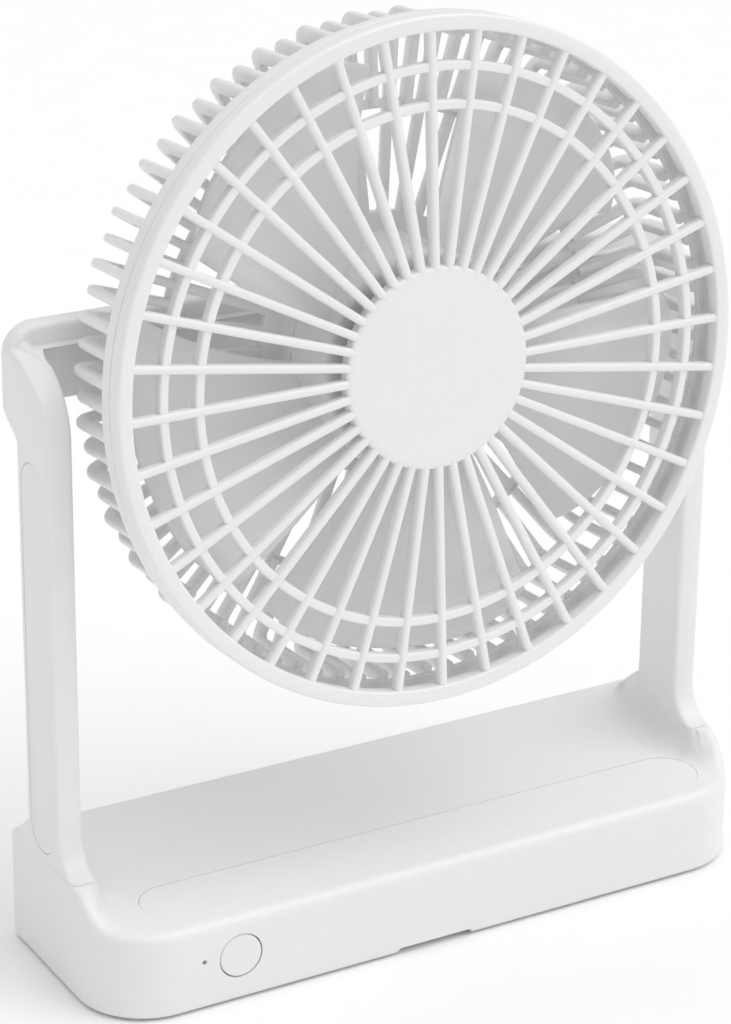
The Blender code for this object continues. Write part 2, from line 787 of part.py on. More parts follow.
def make_charge_socket():
    """A flat oval charging inlet at the middle of the rear wall."""
    centre = (0, base_z + socket_centre_height)
    outer = pill(socket_width / 2, socket_height / 2, centre)
    inner = pill(socket_width / 2 - socket_wall, socket_height / 2 - socket_wall, centre)
    mouth = -half_depth + gap
    end = mouth + socket_depth
    shell = flat("charge_socket", [outer, inner], mouth, end, view=FRONT_VIEW)
    half_wall = socket_wall / 2
    filling = pill(socket_width / 2 - half_wall, socket_height / 2 - half_wall, centre)
    back = flat("socket_back", [filling], end - socket_wall - socket_back_thickness,
                end - socket_wall, view=FRONT_VIEW, collection=cutters)
    join(shell, back)
    half_width = socket_tongue_width / 2
    half_thickness = socket_tongue_thickness / 2
    tongue = box("socket_tongue", (-half_width, -end + socket_wall + half_wall,
                                   centre[1] - half_thickness),
                 (half_width, half_depth - socket_tongue_setback, centre[1] + half_thickness), cutters)
    join(shell, tongue)
    return finish(shell, zinc_steel)


# ---------------------------------------------------------------- frame
def frame_section():
    """Side view of the frame: a filleted foot, a straight arm and a top that sweeps back."""
    fillet_z = shoulder_z + arm_fillet
    tip = math.degrees(math.acos((arm_fillet - arm_foot_reach) / arm_fillet))
    foot = arc((arm_front_y - arm_fillet, fillet_z), arm_fillet, -tip, 0, 6)
    bend_reach = crossbar_back_y - base_wall - arm_front_y
    sweep = [(arm_front_y + bend_reach - bend_reach * math.cos(math.radians(angle)),
              arm_bend_z + arm_bend_rise * math.sin(math.radians(angle)))
             for angle in range(0, 85, 12)]
    crest = [(crossbar_back_y - base_wall, crossbar_top_z - base_wall / 2),
             (crossbar_back_y, crossbar_top_z)]
    low_z = head_centre_z - crossbar_step_below_centre
    step_back = []
    for step in range(7):
        blend = (1 - math.cos(math.pi * step / 6)) / 2
        step_back.append((crossbar_back_y + (arm_back_y - crossbar_back_y) * blend,
                          low_z + crossbar_step_rise * (1 - step / 6)))
    seat = [(y, z + gap) for y, z in seat_line()]
    return foot + sweep + crest + step_back + seat[::-1]


def cover_outline(grow):
    """Side view of the strip let into an arm's outer face."""
    low_y = arm_front_y + cover_margin - grow
    high_y = arm_back_y - cover_margin + grow
    radius = (high_y - low_y) / 2
    middle = (low_y + high_y) / 2
    low_z = seat_front_z + cover_above_seat - grow
    high_z = head_centre_z - cover_top_below_centre + grow
    return (arc((middle, low_z + radius), radius, 180, 360, 8)
            + arc((middle, high_z - radius), radius, 0, 180, 8))


def lead_path():
    """The motor lead's way up the left arm and along the crossbar to the hinge."""
    arm_x = -(frame_half + arm_inner_x) / 2
    arm_y = (arm_front_y + arm_back_y) / 2
    bar_y = (crossbar_front_y + crossbar_back_y) / 2
    bar_z = (crossbar_bottom_z + crossbar_face_z) / 2
    corners = [(arm_x, arm_y, plate_top_z + gap), (arm_x, arm_y, bar_z - lead_crossing_drop),
               (arm_x, bar_y, bar_z), (-bracket_half_width - gap, bar_y, bar_z)]
    path = [Vector(corners[0])]
    for before, corner, after in zip(corners, corners[1:], corners[2:]):
        corner = Vector(corner)
        start = corner + (Vector(before) - corner).normalized() * lead_bend
        end = corner + (Vector(after) - corner).normalized() * lead_bend
        for step in range(5):
            t = step / 4
            path.append(start * (1 - t) ** 2 + corner * 2 * t * (1 - t) + end * t ** 2)
    path.append(Vector(corners[-1]))
    return path


def bracket_pocket(grow):
    """Corners of the recess in the crossbar's face for the tilt bracket."""
    half = bracket_half_width + grow
    return ((-half, crossbar_front_y - REACH, pivot_z - bracket_below_pivot - grow),
            (half, bracket_front_y + bracket_thickness + grow, pivot_z + bracket_above_pivot + grow))


def make_frame():
    hoop = flat("frame_hoop", [frame_section()], -frame_half, frame_half, view=SIDE_VIEW)
    far = 2 * frame_half
    above = crossbar_top_z + REACH
    inside = [(-far, -far), (far, -far), (far, crossbar_bottom_z),
              (crossbar_front_y, crossbar_bottom_z), (crossbar_front_y, above), (-far, above)]
    cut(hoop, flat("frame_window", [inside], -arm_inner_x, arm_inner_x, view=SIDE_VIEW,
                   collection=cutters))
    bar_back = crossbar_back_y - shoulder_step
    bar = [(crossbar_front_y, crossbar_bottom_z + shoulder_step), (bar_back, crossbar_bottom_z
                                                                    + shoulder_step),
           (bar_back, crossbar_top_z - shoulder_step), (crossbar_front_y, crossbar_face_z)]
    bar_half = arm_inner_x - crossbar_end_inset
    join(hoop, flat("crossbar", [bar], -bar_half, bar_half, view=SIDE_VIEW, collection=cutters))
    for side, name in ((-1, "left"), (1, "right")):
        centre = (side * (frame_half - frame_corner), crossbar_top_z - frame_corner)
        curve = arc(centre, frame_corner, 90 - 90 * side, 90, 8)
        outside = [(side * (frame_half + REACH), centre[1])] + curve
        outside += [(centre[0], above), (side * (frame_half + REACH), above)]
        cut(hoop, flat("frame_corner_" + name, [outside], -half_depth - REACH, half_depth,
                       view=FRONT_VIEW, collection=cutters))
        reach_x = sorted((side * (frame_half - cover_thickness - gap), side * (frame_half + REACH)))
        cut(hoop, flat("cover_groove_" + name, [cover_outline(gap)], *reach_x, view=SIDE_VIEW,
                       collection=cutters))
        low, high = arm_tenon(side, 0.0)
        join(hoop, box("tenon_" + name, low, high, cutters))
    cut(hoop, box("bracket_recess", *bracket_pocket(gap), cutters))
    for side, name in ((-1, "left"), (1, "right")):
        x = side * bracket_screw_x
        z = pivot_z + bracket_screw_rise
        cut(hoop, rod("bracket_screw_hole_" + name, screw_shank_radius + gap,
                      (x, bracket_front_y, z), (x, crossbar_back_y - bracket_screw_back_wall, z),
                      cutters, 12))
    ends = lead_path()
    ends[0] = ends[0] - Vector((0, 0, REACH))
    ends[-1] = ends[-1] + Vector((REACH, 0, 0))
    cut(hoop, tube("lead_tunnel", ends, lead_radius + gap, cutters))
    return finish(hoop, housing_white)


def make_arm_covers():
    for side, name in ((-1, "left"), (1, "right")):
        faces = sorted((side * (frame_half - cover_thickness), side * frame_half))
        strip = flat("arm_cover_" + name, [cover_outline(0.0)], *faces, view=SIDE_VIEW)
        finish(strip, housing_white)


def make_lead():
    return finish(tube("motor_lead", lead_path(), lead_radius), lead_black)


# ---------------------------------------------------------------- tilt hinge, fixed side
def ear_start_x():
    return knuckle_half_width + gap + washer_thickness + gap


def make_tilt_bracket():
    low, high = bracket_pocket(0.0)
    plate = box("tilt_bracket", (low[0], bracket_front_y, low[2]),
                (high[0], bracket_front_y + bracket_thickness, high[2]))
    root_y = bracket_front_y + bracket_thickness / 2
    tip = arc((pivot_y, pivot_z), ear_radius, 270, 90, 12)
    outline = [(root_y, pivot_z - ear_radius)] + tip + [(root_y, pivot_z + ear_radius)]
    start = ear_start_x()
    for side, name in ((-1, "left"), (1, "right")):
        faces = sorted((side * start, side * (start + ear_thickness)))
        join(plate, flat("ear_" + name, [outline], *faces, view=SIDE_VIEW, collection=cutters))
        x = side * bracket_screw_x
        z = pivot_z + bracket_screw_rise
        cut(plate, rod("bracket_hole_" + name, screw_shank_radius + gap,
                       (x, bracket_front_y - REACH, z), (x, half_depth, z), cutters, 12))
    half = bracket_half_width + REACH
    cut(plate, rod("bracket_pin_hole", pin_radius + running_gap, (-half, pivot_y, pivot_z),
                   (half, pivot_y, pivot_z), cutters, 24))
    return finish(plate, zinc_steel)


def make_bracket_screws():
    for side, name in ((-1, "left"), (1, "right")):
        screw = screw_mesh("bracket_screw_" + name, screw_shank_radius, screw_head_radius,
                           screw_head_height, screw_head_height + crossbar_back_y
                           - bracket_front_y - bracket_screw_back_wall - gap)
        spot = (side * bracket_screw_x, bracket_front_y - screw_head_height - gap / 2,
                pivot_z + bracket_screw_rise)
        finish(place(screw, spot, (-math.pi / 2, 0, 0)), zinc_steel)


def make_tilt_pin():
    half = ear_start_x() + ear_thickness + gap
    pin = rod("tilt_pin", pin_radius, (-half, 0, 0), (half, 0, 0), sides=24)
    return finish(place(pin, (0, pivot_y, pivot_z)), zinc_steel)


def make_friction_washers():
    inner = pin_radius + running_gap
    for side, name in ((-1, "left"), (1, "right")):
        middle = side * (knuckle_half_width + gap + washer_thickness / 2)
        half = washer_thickness / 2
        profile = [(knuckle_radius, half), (knuckle_radius, -half), (inner, -half), (inner, half)]
        washer = turned("friction_washer_" + name, profile, True, 24)
        finish(place(washer, (middle, pivot_y, pivot_z), (0, math.pi / 2, 0)), zinc_steel)


# ---------------------------------------------------------------- head
def head_z(depth):
    """Local height in the head's own frame of a depth behind its front plane."""
    return pivot_depth - depth


def by_depth(points):
    return [(radius, head_z(depth)) for radius, depth in points]


def make_axes():
    """An empty on the tilt axis, and one on the fan's axis that it carries."""
    tilt = bpy.data.objects.new("tilt_axis", None)
    parts.objects.link(tilt)
    place(tilt, (0, pivot_y, pivot_z), (math.pi / 2 - head_tilt, 0, 0))
    spin = bpy.data.objects.new("spin_axis", None)
    parts.objects.link(spin)
    place(spin, parent=tilt)
    return tilt, spin


def ride(axis, *things):
    for thing in things:
        thing.parent = axis


def make_front_guard(axis):
    """Outer ring with 40 radial bars, two inner rings and a plain round disc."""
    front = front_rib_recess
    step = 360 / front_rib_count
    plate_edge = (front_ring_inner + guard_radius) / 2
    start = step / 2 - front_draw_turn
    loops = [arc((0, 0), plate_edge, start, start + 360 - step, front_rib_count - 1)]
    half_ring = front_ring_width / 2
    for index in range(front_rib_count):
        middle = step * (index + 0.5) + front_draw_turn
        nose = front_disc_radius * math.sin(math.radians(step / 2)) - front_rib_width / 2
        loops.append(slot_between(middle, step, front_rib_width, front_disc_radius,
                                  front_ring_b - half_ring, nose))
        width = front_rib_width + front_rib_growth
        loops.append(slot_between(middle, step, width, front_ring_b + half_ring,
                                  front_ring_a - half_ring))
        width += front_rib_growth
        loops.append(slot_between(middle, step, width, front_ring_a + half_ring,
                                  front_ring_inner + front_rim_width / 4))
    grille = flat("front_guard", loops, head_z(front + front_rib_depth), head_z(front))
    grille.rotation_euler.z = math.radians(front_draw_turn)
    rim_back = front + front_rib_depth + gap
    rim = by_depth([(guard_radius - guard_front_edge, 0), (guard_radius, guard_front_edge),
                    (guard_radius, guard_split_depth),
                    (guard_radius - guard_wall, guard_split_depth),
                    (guard_radius - guard_wall, rim_back), (front_ring_inner, rim_back),
                    (front_ring_inner, gap / 2), (front_ring_inner + gap, 0)])
    ring = turned("front_rim", rim, True, front_rib_count, cutters)
    ride(axis, grille, ring)
    return finish(join(grille, ring), guard_white)


def make_rear_guard(axis):
    """Rim and cage in one moulding: strands run back from the rim and in to a flat hub."""
    corner = (rear_outer_radius - rear_corner, rear_depth - rear_corner)
    inner_corner = rear_corner - rear_side_wall
    inside = rear_depth - rear_side_wall
    rim_start = guard_split_depth + gap
    web = guard_rim_depth - rear_rim_web
    boss_inner = motor_boss_radius - motor_boss_wall
    profile = [(0, inside), (boss_inner, inside), (boss_inner, motor_boss_depth),
               (motor_boss_radius, motor_boss_depth), (motor_boss_radius, inside)]
    profile += arc(corner, inner_corner, 90, 0, 1)
    profile += [(rear_outer_radius - rear_side_wall, web), (guard_radius - guard_wall, web),
                (guard_radius - guard_wall, rim_start), (guard_radius, rim_start),
                (guard_radius, guard_rim_depth), (rear_outer_radius, guard_rim_depth)]
    profile += arc(corner, rear_corner, 0, 90, 2)
    profile += [(0, rear_depth)]
    cage = turned("rear_guard", by_depth(profile), False, rear_strand_count // 2)
    step = 360 / rear_strand_count
    cage.rotation_euler.z = math.radians(step)
    far = guard_radius + REACH
    outer_slots = [slot_between(step * (index + 0.5), step, rear_strand_width,
                                rear_ring_radius + rear_ring_width / 2, far)
                   for index in range(rear_strand_count)]
    inner_nose = rear_hub_radius * math.sin(math.radians(step)) - rear_rib_width / 2
    inner_slots = [slot_between(2 * step * index, 2 * step, rear_rib_width, rear_hub_radius,
                                rear_ring_radius - rear_ring_width / 2, inner_nose)
                   for index in range(rear_strand_count // 2)]
    back = head_z(rear_depth + REACH)
    outer_cut = flat("outer_slots", outer_slots, back, head_z(guard_rim_depth + rear_web),
                     collection=cutters)
    inner_cut = flat("inner_slots", inner_slots, back, head_z(inside - REACH / 2),
                     collection=cutters)
    stem = box("stem_window", (-knuckle_half_width - gap, -knuckle_radius - gap, back),
               (knuckle_half_width + gap, knuckle_radius + gap, head_z(inside - REACH / 2)), cutters)
    ride(axis, cage, outer_cut, inner_cut, stem)
    cut(cage, outer_cut)
    cut(cage, inner_cut)
    cut(cage, stem)
    for index, (x, y) in enumerate(motor_screw_places()):
        hole = rod(f"guard_screw_hole_{index + 1}", screw_shank_radius + gap, (x, y, back),
                   (x, y, head_z(inside - REACH / 2)), cutters, 12)
        seat = rod(f"guard_screw_seat_{index + 1}", screw_head_radius + gap, (x, y, back),
                   (x, y, head_z(rear_depth - screw_head_height - gap)), cutters, 16)
        ride(axis, hole, seat)
        cut(cage, hole)
        cut(cage, seat)
    return finish(cage, guard_white)


def motor_screw_places():
    places = []
    for index in range(motor_screw_count):
        angle = math.radians(90 + 360 / motor_screw_count * index)
        places.append((motor_screw_circle * math.cos(angle), motor_screw_circle * math.sin(angle)))
    return places


def make_motor_mount(axis):
    bore = motor_tube_radius - motor_tube_wall
    flange_front = motor_flange_back - motor_flange_thickness
    profile = by_depth([(motor_tube_radius, motor_tube_front), (motor_tube_radius, flange_front),
                        (motor_flange_radius, flange_front), (motor_flange_radius, motor_flange_back),
                        (bore, motor_flange_back), (bore, motor_tube_front)])
    mount = turned("motor_mount", profile, True, 32)
    ride(axis, mount)
    for index, (x, y) in enumerate(motor_screw_places()):
        hole = rod(f"mount_hole_{index + 1}", screw_shank_radius + gap,
                   (x, y, head_z(motor_flange_back + gap)), (x, y, head_z(flange_front - gap)),
                   cutters, 12)
        ride(axis, hole)
        cut(mount, hole)
    return finish(mount, zinc_steel)


def make_motor_screws(axis):
    flange_front = motor_flange_back - motor_flange_thickness
    for index, (x, y) in enumerate(motor_screw_places()):
        screw = screw_mesh(f"motor_screw_{index + 1}", screw_shank_radius, screw_head_radius,
                           screw_head_height, rear_depth - flange_front)
        finish(place(screw, (x, y, head_z(rear_depth)), parent=axis), zinc_steel)


def make_bearings(axis):
    outer = motor_tube_radius - motor_tube_wall - running_gap
    inner = shaft_radius + running_gap
    for name, start in (("front", motor_tube_front + gap),
                        ("rear", motor_flange_back - gap - bearing_length)):
        end = start + bearing_length
        profile = by_depth([(outer, start), (outer, end), (inner, end), (inner, start)])
        bearing = turned("bearing_" + name, profile, True, 24)
        finish(place(bearing, parent=axis), zinc_steel)


def make_stator(axis):
    """Laminated core with T-shaped poles, facing the magnet ring."""
    shoe_half = tooth_shoe_share * 360 / stator_poles
    neck = stator_radius - tooth_shoe
    loop = []
    for index in range(stator_poles):
        turn = Matrix.Rotation(math.radians(360 / stator_poles * index), 2)
        tip = arc((0, 0), stator_radius, -shoe_half, shoe_half, 3)
        under = arc((0, 0), neck, -shoe_half, shoe_half, 1)
        tooth = [(stator_root, -tooth_half_width), (neck, -tooth_half_width), under[0]]
        tooth += tip + [under[1], (neck, tooth_half_width), (stator_root, tooth_half_width)]
        loop += [tuple(turn @ Vector(point)) for point in tooth]
    bore = arc((0, 0), motor_tube_radius + gap, 0, 345, 23)
    core = flat("stator_core", [loop, bore], head_z(stator_back), head_z(stator_back - stator_stack))
    ride(axis, core)
    return finish(core, laminate_steel)


def make_knuckle(axis):
    """The head's half of the hinge: a flange inside the hub, a stem and a cross barrel."""
    flange_back = head_z(rear_depth - rear_side_wall - gap)
    flange_front = flange_back + knuckle_flange_thickness
    half = knuckle_half_width
    barrel = rod("tilt_knuckle", knuckle_radius, (-half, 0, 0), (half, 0, 0))
    inset = knuckle_stem_inset
    stem = box("knuckle_stem", (-half + inset, -knuckle_radius + inset, 0),
               (half - inset, knuckle_radius - inset, flange_back + inset), cutters)
    flange = box("knuckle_flange", (-knuckle_flange_half, -knuckle_flange_height, flange_back),
                 (knuckle_flange_half, knuckle_flange_height, flange_front), cutters)
    bore = rod("knuckle_bore", pin_radius + running_gap, (-half - REACH, 0, 0),
               (half + REACH, 0, 0), cutters, 24)
    ride(axis, barrel, stem, flange, bore)
    join(barrel, stem)
    join(barrel, flange)
    cut(barrel, bore)
    return finish(barrel, housing_white)


# ---------------------------------------------------------------- rotor
def blade_mesh():
    """One broad blade as an open sheet: u runs out along it, v runs round it to its leading edge."""
    along, across = 5, 7
    root = rotor_hub_radius - rotor_wall / 2
    shape = bmesh.new()
    bmesh.ops.create_grid(shape, x_segments=along, y_segments=across, size=1.0)
    middle = (blade_front + blade_back) / 2
    half_rise = (blade_back - blade_front) / 2 - blade_thickness / 2
    for vertex in shape.verts:
        u = (vertex.co.x + 1) / 2
        v = vertex.co.y
        tip = blade_tip_radius - blade_tip_rounding * abs(v) ** 4
        radius = root + (tip - root) * u
        angle = blade_half_angle * v * (0.86 + 0.14 * u) + blade_sweep * (u - 0.5)
        depth = middle + half_rise * v * (0.80 + 0.20 * u) - blade_bow * (1 - v * v) * u
        vertex.co = (radius * math.sin(angle), radius * math.cos(angle), head_z(depth))
    mesh = bpy.data.meshes.new("blade")
    shape.to_mesh(mesh)
    shape.free()
    return mesh


def make_rotor(axis):
    """Cup hub with five broad blades in one moulding."""
    inner = rotor_hub_radius - rotor_wall
    floor = rotor_hub_front + rotor_wall
    boss_end = floor + rotor_boss_length
    bore = shaft_radius + running_gap
    edge = rotor_edge
    profile = [(0, rotor_hub_front), (rotor_hub_radius - edge, rotor_hub_front)]
    profile += arc((rotor_hub_radius - edge, rotor_hub_front + edge), edge, -60, 0, 2)
    profile += [(rotor_hub_radius, rotor_hub_back), (inner, rotor_hub_back), (inner, floor),
                (rotor_boss_radius, floor), (rotor_boss_radius, boss_end), (bore, boss_end),
                (bore, floor), (0, floor)]
    hub = turned("fan_rotor", by_depth(profile), False, 40)
    ride(axis, hub)
    mesh = blade_mesh()
    pitch = 2 * math.pi / blade_count
    for index in range(blade_count):
        blade = bpy.data.objects.new(f"blade_{index + 1}", mesh)
        cutters.objects.link(blade)
        as_cutter(blade)
        place(blade, rotation=(0, 0, pitch * (index + 0.5)), parent=axis)
        wall = blade.modifiers.new("thickness", "SOLIDIFY")
        wall.thickness = blade_thickness
        wall.offset = 0.0
        join(hub, blade)
    return finish(hub, rotor_white)


def make_magnet_ring(axis):
    outer = rotor_hub_radius - rotor_wall - gap
    start = rotor_hub_back - gap - magnet_length
    profile = by_depth([(outer, start), (outer, start + magnet_length),
                        (outer - magnet_wall, start + magnet_length), (outer - magnet_wall, start)])
    return finish(place(turned("magnet_ring", profile, True, 40), parent=axis), laminate_steel)


def make_shaft(axis):
    start = rotor_hub_front + rotor_wall + gap
    end = motor_flange_back - gap
    shaft = rod("motor_shaft", shaft_radius, (0, 0, head_z(end)), (0, 0, head_z(start)), sides=24)
    return finish(place(shaft, parent=axis), zinc_steel)


def make_desk_fan():
    make_base_shell()
    make_bottom_plate()
    make_feet()
    make_base_screws()
    make_diffuser()
    make_led_board()
    make_battery()
    make_control_board()
    make_button()
    make_indicator()
    make_charge_socket()
    make_frame()
    make_arm_covers()
    make_lead()
    make_tilt_bracket()
    make_bracket_screws()
    make_tilt_pin()
    make_friction_washers()
    tilt, spin = make_axes()
    make_front_guard(tilt)
    make_rear_guard(tilt)
    make_motor_mount(tilt)
    make_motor_screws(tilt)
    make_bearings(tilt)
    make_stator(tilt)
    make_knuckle(tilt)
    make_rotor(spin)
    make_magnet_ring(spin)
    make_shaft(spin)


make_desk_fan()
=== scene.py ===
"""Looks of the desk fan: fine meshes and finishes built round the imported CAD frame.

Metres, +Z up.  The fan faces -Y and stands on Z zero.  Sizes are taken from the frame's boxes or
named in the class of the sub-assembly that they belong to; only small roundings, and how finely a
shape is divided, stand where they are used.
"""

import json
import logging
import math
from dataclasses import dataclass, field, fields
from enum import Enum
from typing import Callable, Sequence

import bmesh
import bpy
from mathutils import Matrix, Vector

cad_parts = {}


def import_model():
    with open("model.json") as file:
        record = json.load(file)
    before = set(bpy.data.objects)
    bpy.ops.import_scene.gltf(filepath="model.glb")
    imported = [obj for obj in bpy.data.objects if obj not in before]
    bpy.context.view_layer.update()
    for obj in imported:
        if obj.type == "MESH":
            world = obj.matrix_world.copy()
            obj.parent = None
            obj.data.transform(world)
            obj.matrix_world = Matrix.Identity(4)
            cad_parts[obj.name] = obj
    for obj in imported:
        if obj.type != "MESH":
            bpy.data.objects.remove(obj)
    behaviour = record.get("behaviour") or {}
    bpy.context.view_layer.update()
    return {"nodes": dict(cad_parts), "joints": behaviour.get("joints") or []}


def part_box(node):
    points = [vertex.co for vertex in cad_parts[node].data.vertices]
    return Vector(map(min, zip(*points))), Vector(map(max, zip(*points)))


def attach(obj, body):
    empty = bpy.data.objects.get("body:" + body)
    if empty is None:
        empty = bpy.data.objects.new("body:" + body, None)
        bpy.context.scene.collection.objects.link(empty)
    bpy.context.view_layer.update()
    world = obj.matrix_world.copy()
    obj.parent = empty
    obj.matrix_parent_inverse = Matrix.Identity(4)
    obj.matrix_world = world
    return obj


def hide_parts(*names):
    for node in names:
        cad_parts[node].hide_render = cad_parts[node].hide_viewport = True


MM = 0.001
CLEARANCE = 0.3 * MM  # round a piece that sits in an opening
PAST = 3 * MM  # how far a cutter runs past what it cuts
Point = tuple[float, float]
Point3 = tuple[float, float, float]
log = logging.getLogger("desk_fan")


class Axis(Enum):
    """Which of the record's two directions a mesh is turned round."""

    TILT = "head_tilt"
    SPIN = "rotor_spin"


# ---------------------------------------------------------------- finishes
def linear(hex_colour: str) -> tuple[float, float, float, float]:
    """Turn an sRGB hex colour to linear light.

    Args:
        hex_colour: Six hex digits, such as "F1F1F0".

    Returns:
        Linear red, green, blue and a full alpha.
    """
    parts = []
    for start in (0, 2, 4):
        value = int(hex_colour[start:start + 2], 16) / 255
        parts.append(value / 12.92 if value <= 0.04045 else ((value + 0.055) / 1.055) ** 2.4)
    return (parts[0], parts[1], parts[2], 1.0)


def add_node(tree: bpy.types.NodeTree, kind: str, settings: dict | None = None,
             values: dict | None = None, links: dict | None = None) -> bpy.types.Node:
    """Add one node with its settings, socket values and incoming links.

    Args:
        tree: The node tree that gets the node.
        kind: The node's type name.
        settings: Node properties by name.
        values: Socket values by input name or number.
        links: Output sockets by input name or number.

    Returns:
        The new node.
    """
    node = tree.nodes.new(kind)
    for name, value in (settings or {}).items():
        setattr(node, name, value)
    for name, value in (values or {}).items():
        node.inputs[name].default_value = value
    for name, socket in (links or {}).items():
        tree.links.new(socket, node.inputs[name])
    return node


@dataclass(frozen=True)
class Finish:
    """A material with a fine surface grain, a slow change of tone and a changing gloss."""

    name: str
    colour: str
    shade: str
    roughness: float
    roughness_spread: float = 0.05
    ior: float = 1.5
    metallic: float = 0.0
    grain_size: float = 0.35 * MM
    grain_depth: float = 0.012 * MM
    tone_size: float = 30.0 * MM
    stretch: tuple[float, float, float] = (1.0, 1.0, 1.0)
    uniform: dict = field(default_factory=dict)

    def build(self) -> bpy.types.Material:
        """Make the material.

        Returns:
            A Principled material whose tone, gloss and bump follow Object coordinates.
        """
        material = bpy.data.materials.new(self.name)
        material.use_nodes = True
        tree = material.node_tree
        shader = tree.nodes["Principled BSDF"]
        place = add_node(tree, "ShaderNodeTexCoord")
        spread = add_node(tree, "ShaderNodeMapping", values={"Scale": self.stretch},
                          links={"Vector": place.outputs["Object"]})
        tone = add_node(tree, "ShaderNodeTexNoise",
                        values={"Scale": 1 / self.tone_size, "Detail": 3.0, "Roughness": 0.6},
                        links={"Vector": spread.outputs["Vector"]})
        grain = add_node(tree, "ShaderNodeTexNoise",
                         values={"Scale": 1 / self.grain_size, "Detail": 2.0},
                         links={"Vector": spread.outputs["Vector"]})
        colour = add_node(tree, "ShaderNodeMix", {"data_type": "RGBA"},
                          {6: linear(self.colour), 7: linear(self.shade)},
                          {0: tone.outputs["Fac"]})
        gloss = add_node(tree, "ShaderNodeMapRange",
                         values={"To Min": self.roughness - self.roughness_spread,
                                 "To Max": self.roughness + self.roughness_spread},
                         links={"Value": grain.outputs["Fac"]})
        bump = add_node(tree, "ShaderNodeBump",
                        values={"Strength": 1.0, "Distance": self.grain_depth},
                        links={"Height": grain.outputs["Fac"]})
        tree.links.new(colour.outputs[2], shader.inputs["Base Color"])
        tree.links.new(gloss.outputs["Result"], shader.inputs["Roughness"])
        tree.links.new(bump.outputs["Normal"], shader.inputs["Normal"])
        shader.inputs["Metallic"].default_value = self.metallic
        if not self.metallic:
            shader.inputs["IOR"].default_value = self.ior
        for name, value in self.uniform.items():
            shader.inputs[name].default_value = value
        return material


def translucent(weight: float, depth: float) -> dict[str, float]:
    """Settings of a plastic that light enters a little way."""
    return {"Subsurface Weight": weight, "Subsurface Scale": depth}


@dataclass(frozen=True)
class Finishes:
    """Every finish on the fan, named for what it is and how it was made."""

    # Injection-moulded ABS from a lightly spark-eroded tool: soft sheen, faint orange-peel grain.
    housing: Finish = Finish("moulded ABS housing", "F3F3F3", "F0F0F0", 0.40,
                             uniform=translucent(0.06, 2.0 * MM))
    # The guards come from a smoother tool, so their edges carry a brighter highlight.
    guard: Finish = Finish("moulded ABS guard", "F5F5F5", "F2F2F2", 0.34,
                           uniform=translucent(0.06, 2.0 * MM))
    # Thin polypropylene blades: a little softer and less white than the guards.
    rotor: Finish = Finish("moulded polypropylene rotor", "F4F4F4", "F1F1F1", 0.38, ior=1.49,
                           uniform=translucent(0.10, 3.0 * MM))
    # Milky polycarbonate light window: light enters a little, so it looks softer than the shell.
    diffuser: Finish = Finish("milky polycarbonate", "F4F4F4", "F2F2F2", 0.42, ior=1.58,
                              grain_size=0.6 * MM, uniform=translucent(0.12, 3.0 * MM))
    # Moulded rubber feet: matt and slightly dusty.
    rubber: Finish = Finish("moulded grey rubber", "B4B4B2", "A6A6A4", 0.82, grain_size=0.5 * MM,
                            grain_depth=0.03 * MM)
    # Bright zinc plating on pressed and turned steel: faint lengthwise drawing marks.
    zinc: Finish = Finish("zinc plated steel", "C9CBCC", "B9BCBF", 0.30, metallic=1.0,
                          grain_size=0.25 * MM, stretch=(0.2, 1.0, 1.0))
    # Stacked sheet steel: the sheets' edges run round the core, 0.5 mm apart.
    laminate: Finish = Finish("laminated steel", "6E7174", "54575B", 0.42, metallic=1.0,
                              grain_size=0.5 * MM, grain_depth=0.05 * MM, stretch=(0.1, 1.0, 0.1))
    # Green solder mask over glass cloth: glossy with a fine weave beneath.
    board: Finish = Finish("solder mask", "1F6B3A", "185A30", 0.34, grain_size=0.8 * MM)
    # Shrink film on the cells: smooth and glossy with slight ripples.
    film: Finish = Finish("shrink film", "3A6CA8", "33629B", 0.28, grain_size=3.0 * MM,
                          grain_depth=0.04 * MM)
    # Black glass-filled nylon of the switch.
    nylon: Finish = Finish("black nylon", "2A2A2B", "222223", 0.50)
    # Soft PVC sheath of the motor lead.
    sheath: Finish = Finish("PVC sheath", "252525", "1E1E1E", 0.45, grain_size=0.6 * MM)


# ---------------------------------------------------------------- mesh helpers
def add_object(name: str, data: bpy.types.ID) -> bpy.types.Object:
    """Make an object at the origin from a mesh, lamp or camera, and link it to the scene."""
    thing = bpy.data.objects.new(name, data)
    bpy.context.scene.collection.objects.link(thing)
    return thing


def new_object(name: str, shape: bmesh.types.BMesh, turn_out: bool = True) -> bpy.types.Object:
    """Make an object at the origin from a bmesh, with merged doubles and faces pointing out.

    Args:
        name: The object's name.
        shape: The bmesh, which is freed.
        turn_out: Recalculate the normals outwards.

    Returns:
        The linked object.
    """
    bmesh.ops.remove_doubles(shape, verts=shape.verts, dist=1e-7)
    if turn_out:
        bmesh.ops.recalc_face_normals(shape, faces=shape.faces)
    mesh = bpy.data.meshes.new(name)
    shape.to_mesh(mesh)
    shape.free()
    return add_object(name, mesh)


def rings_to_shape(rings: Sequence[Sequence[Vector]], closed_ends: bool = True,
                   loop: bool = False) -> bmesh.types.BMesh:
    """Skin a list of equal rings with quads.

    Args:
        rings: Rings of points, all of one length.
        closed_ends: Cap the first and the last ring.
        loop: Join the last ring to the first instead.

    Returns:
        The bmesh.
    """
    shape = bmesh.new()
    rows = [[shape.verts.new(point) for point in ring] for ring in rings]
    count = len(rows[0])
    pairs = list(zip(rows, rows[1:]))
    if loop:
        pairs.append((rows[-1], rows[0]))
    for lower, upper in pairs:
        for index in range(count):
            after = (index + 1) % count
            shape.faces.new((lower[index], lower[after], upper[after], upper[index]))
    if closed_ends and not loop:
        shape.faces.new(rows[0])
        shape.faces.new(rows[-1])
    return shape


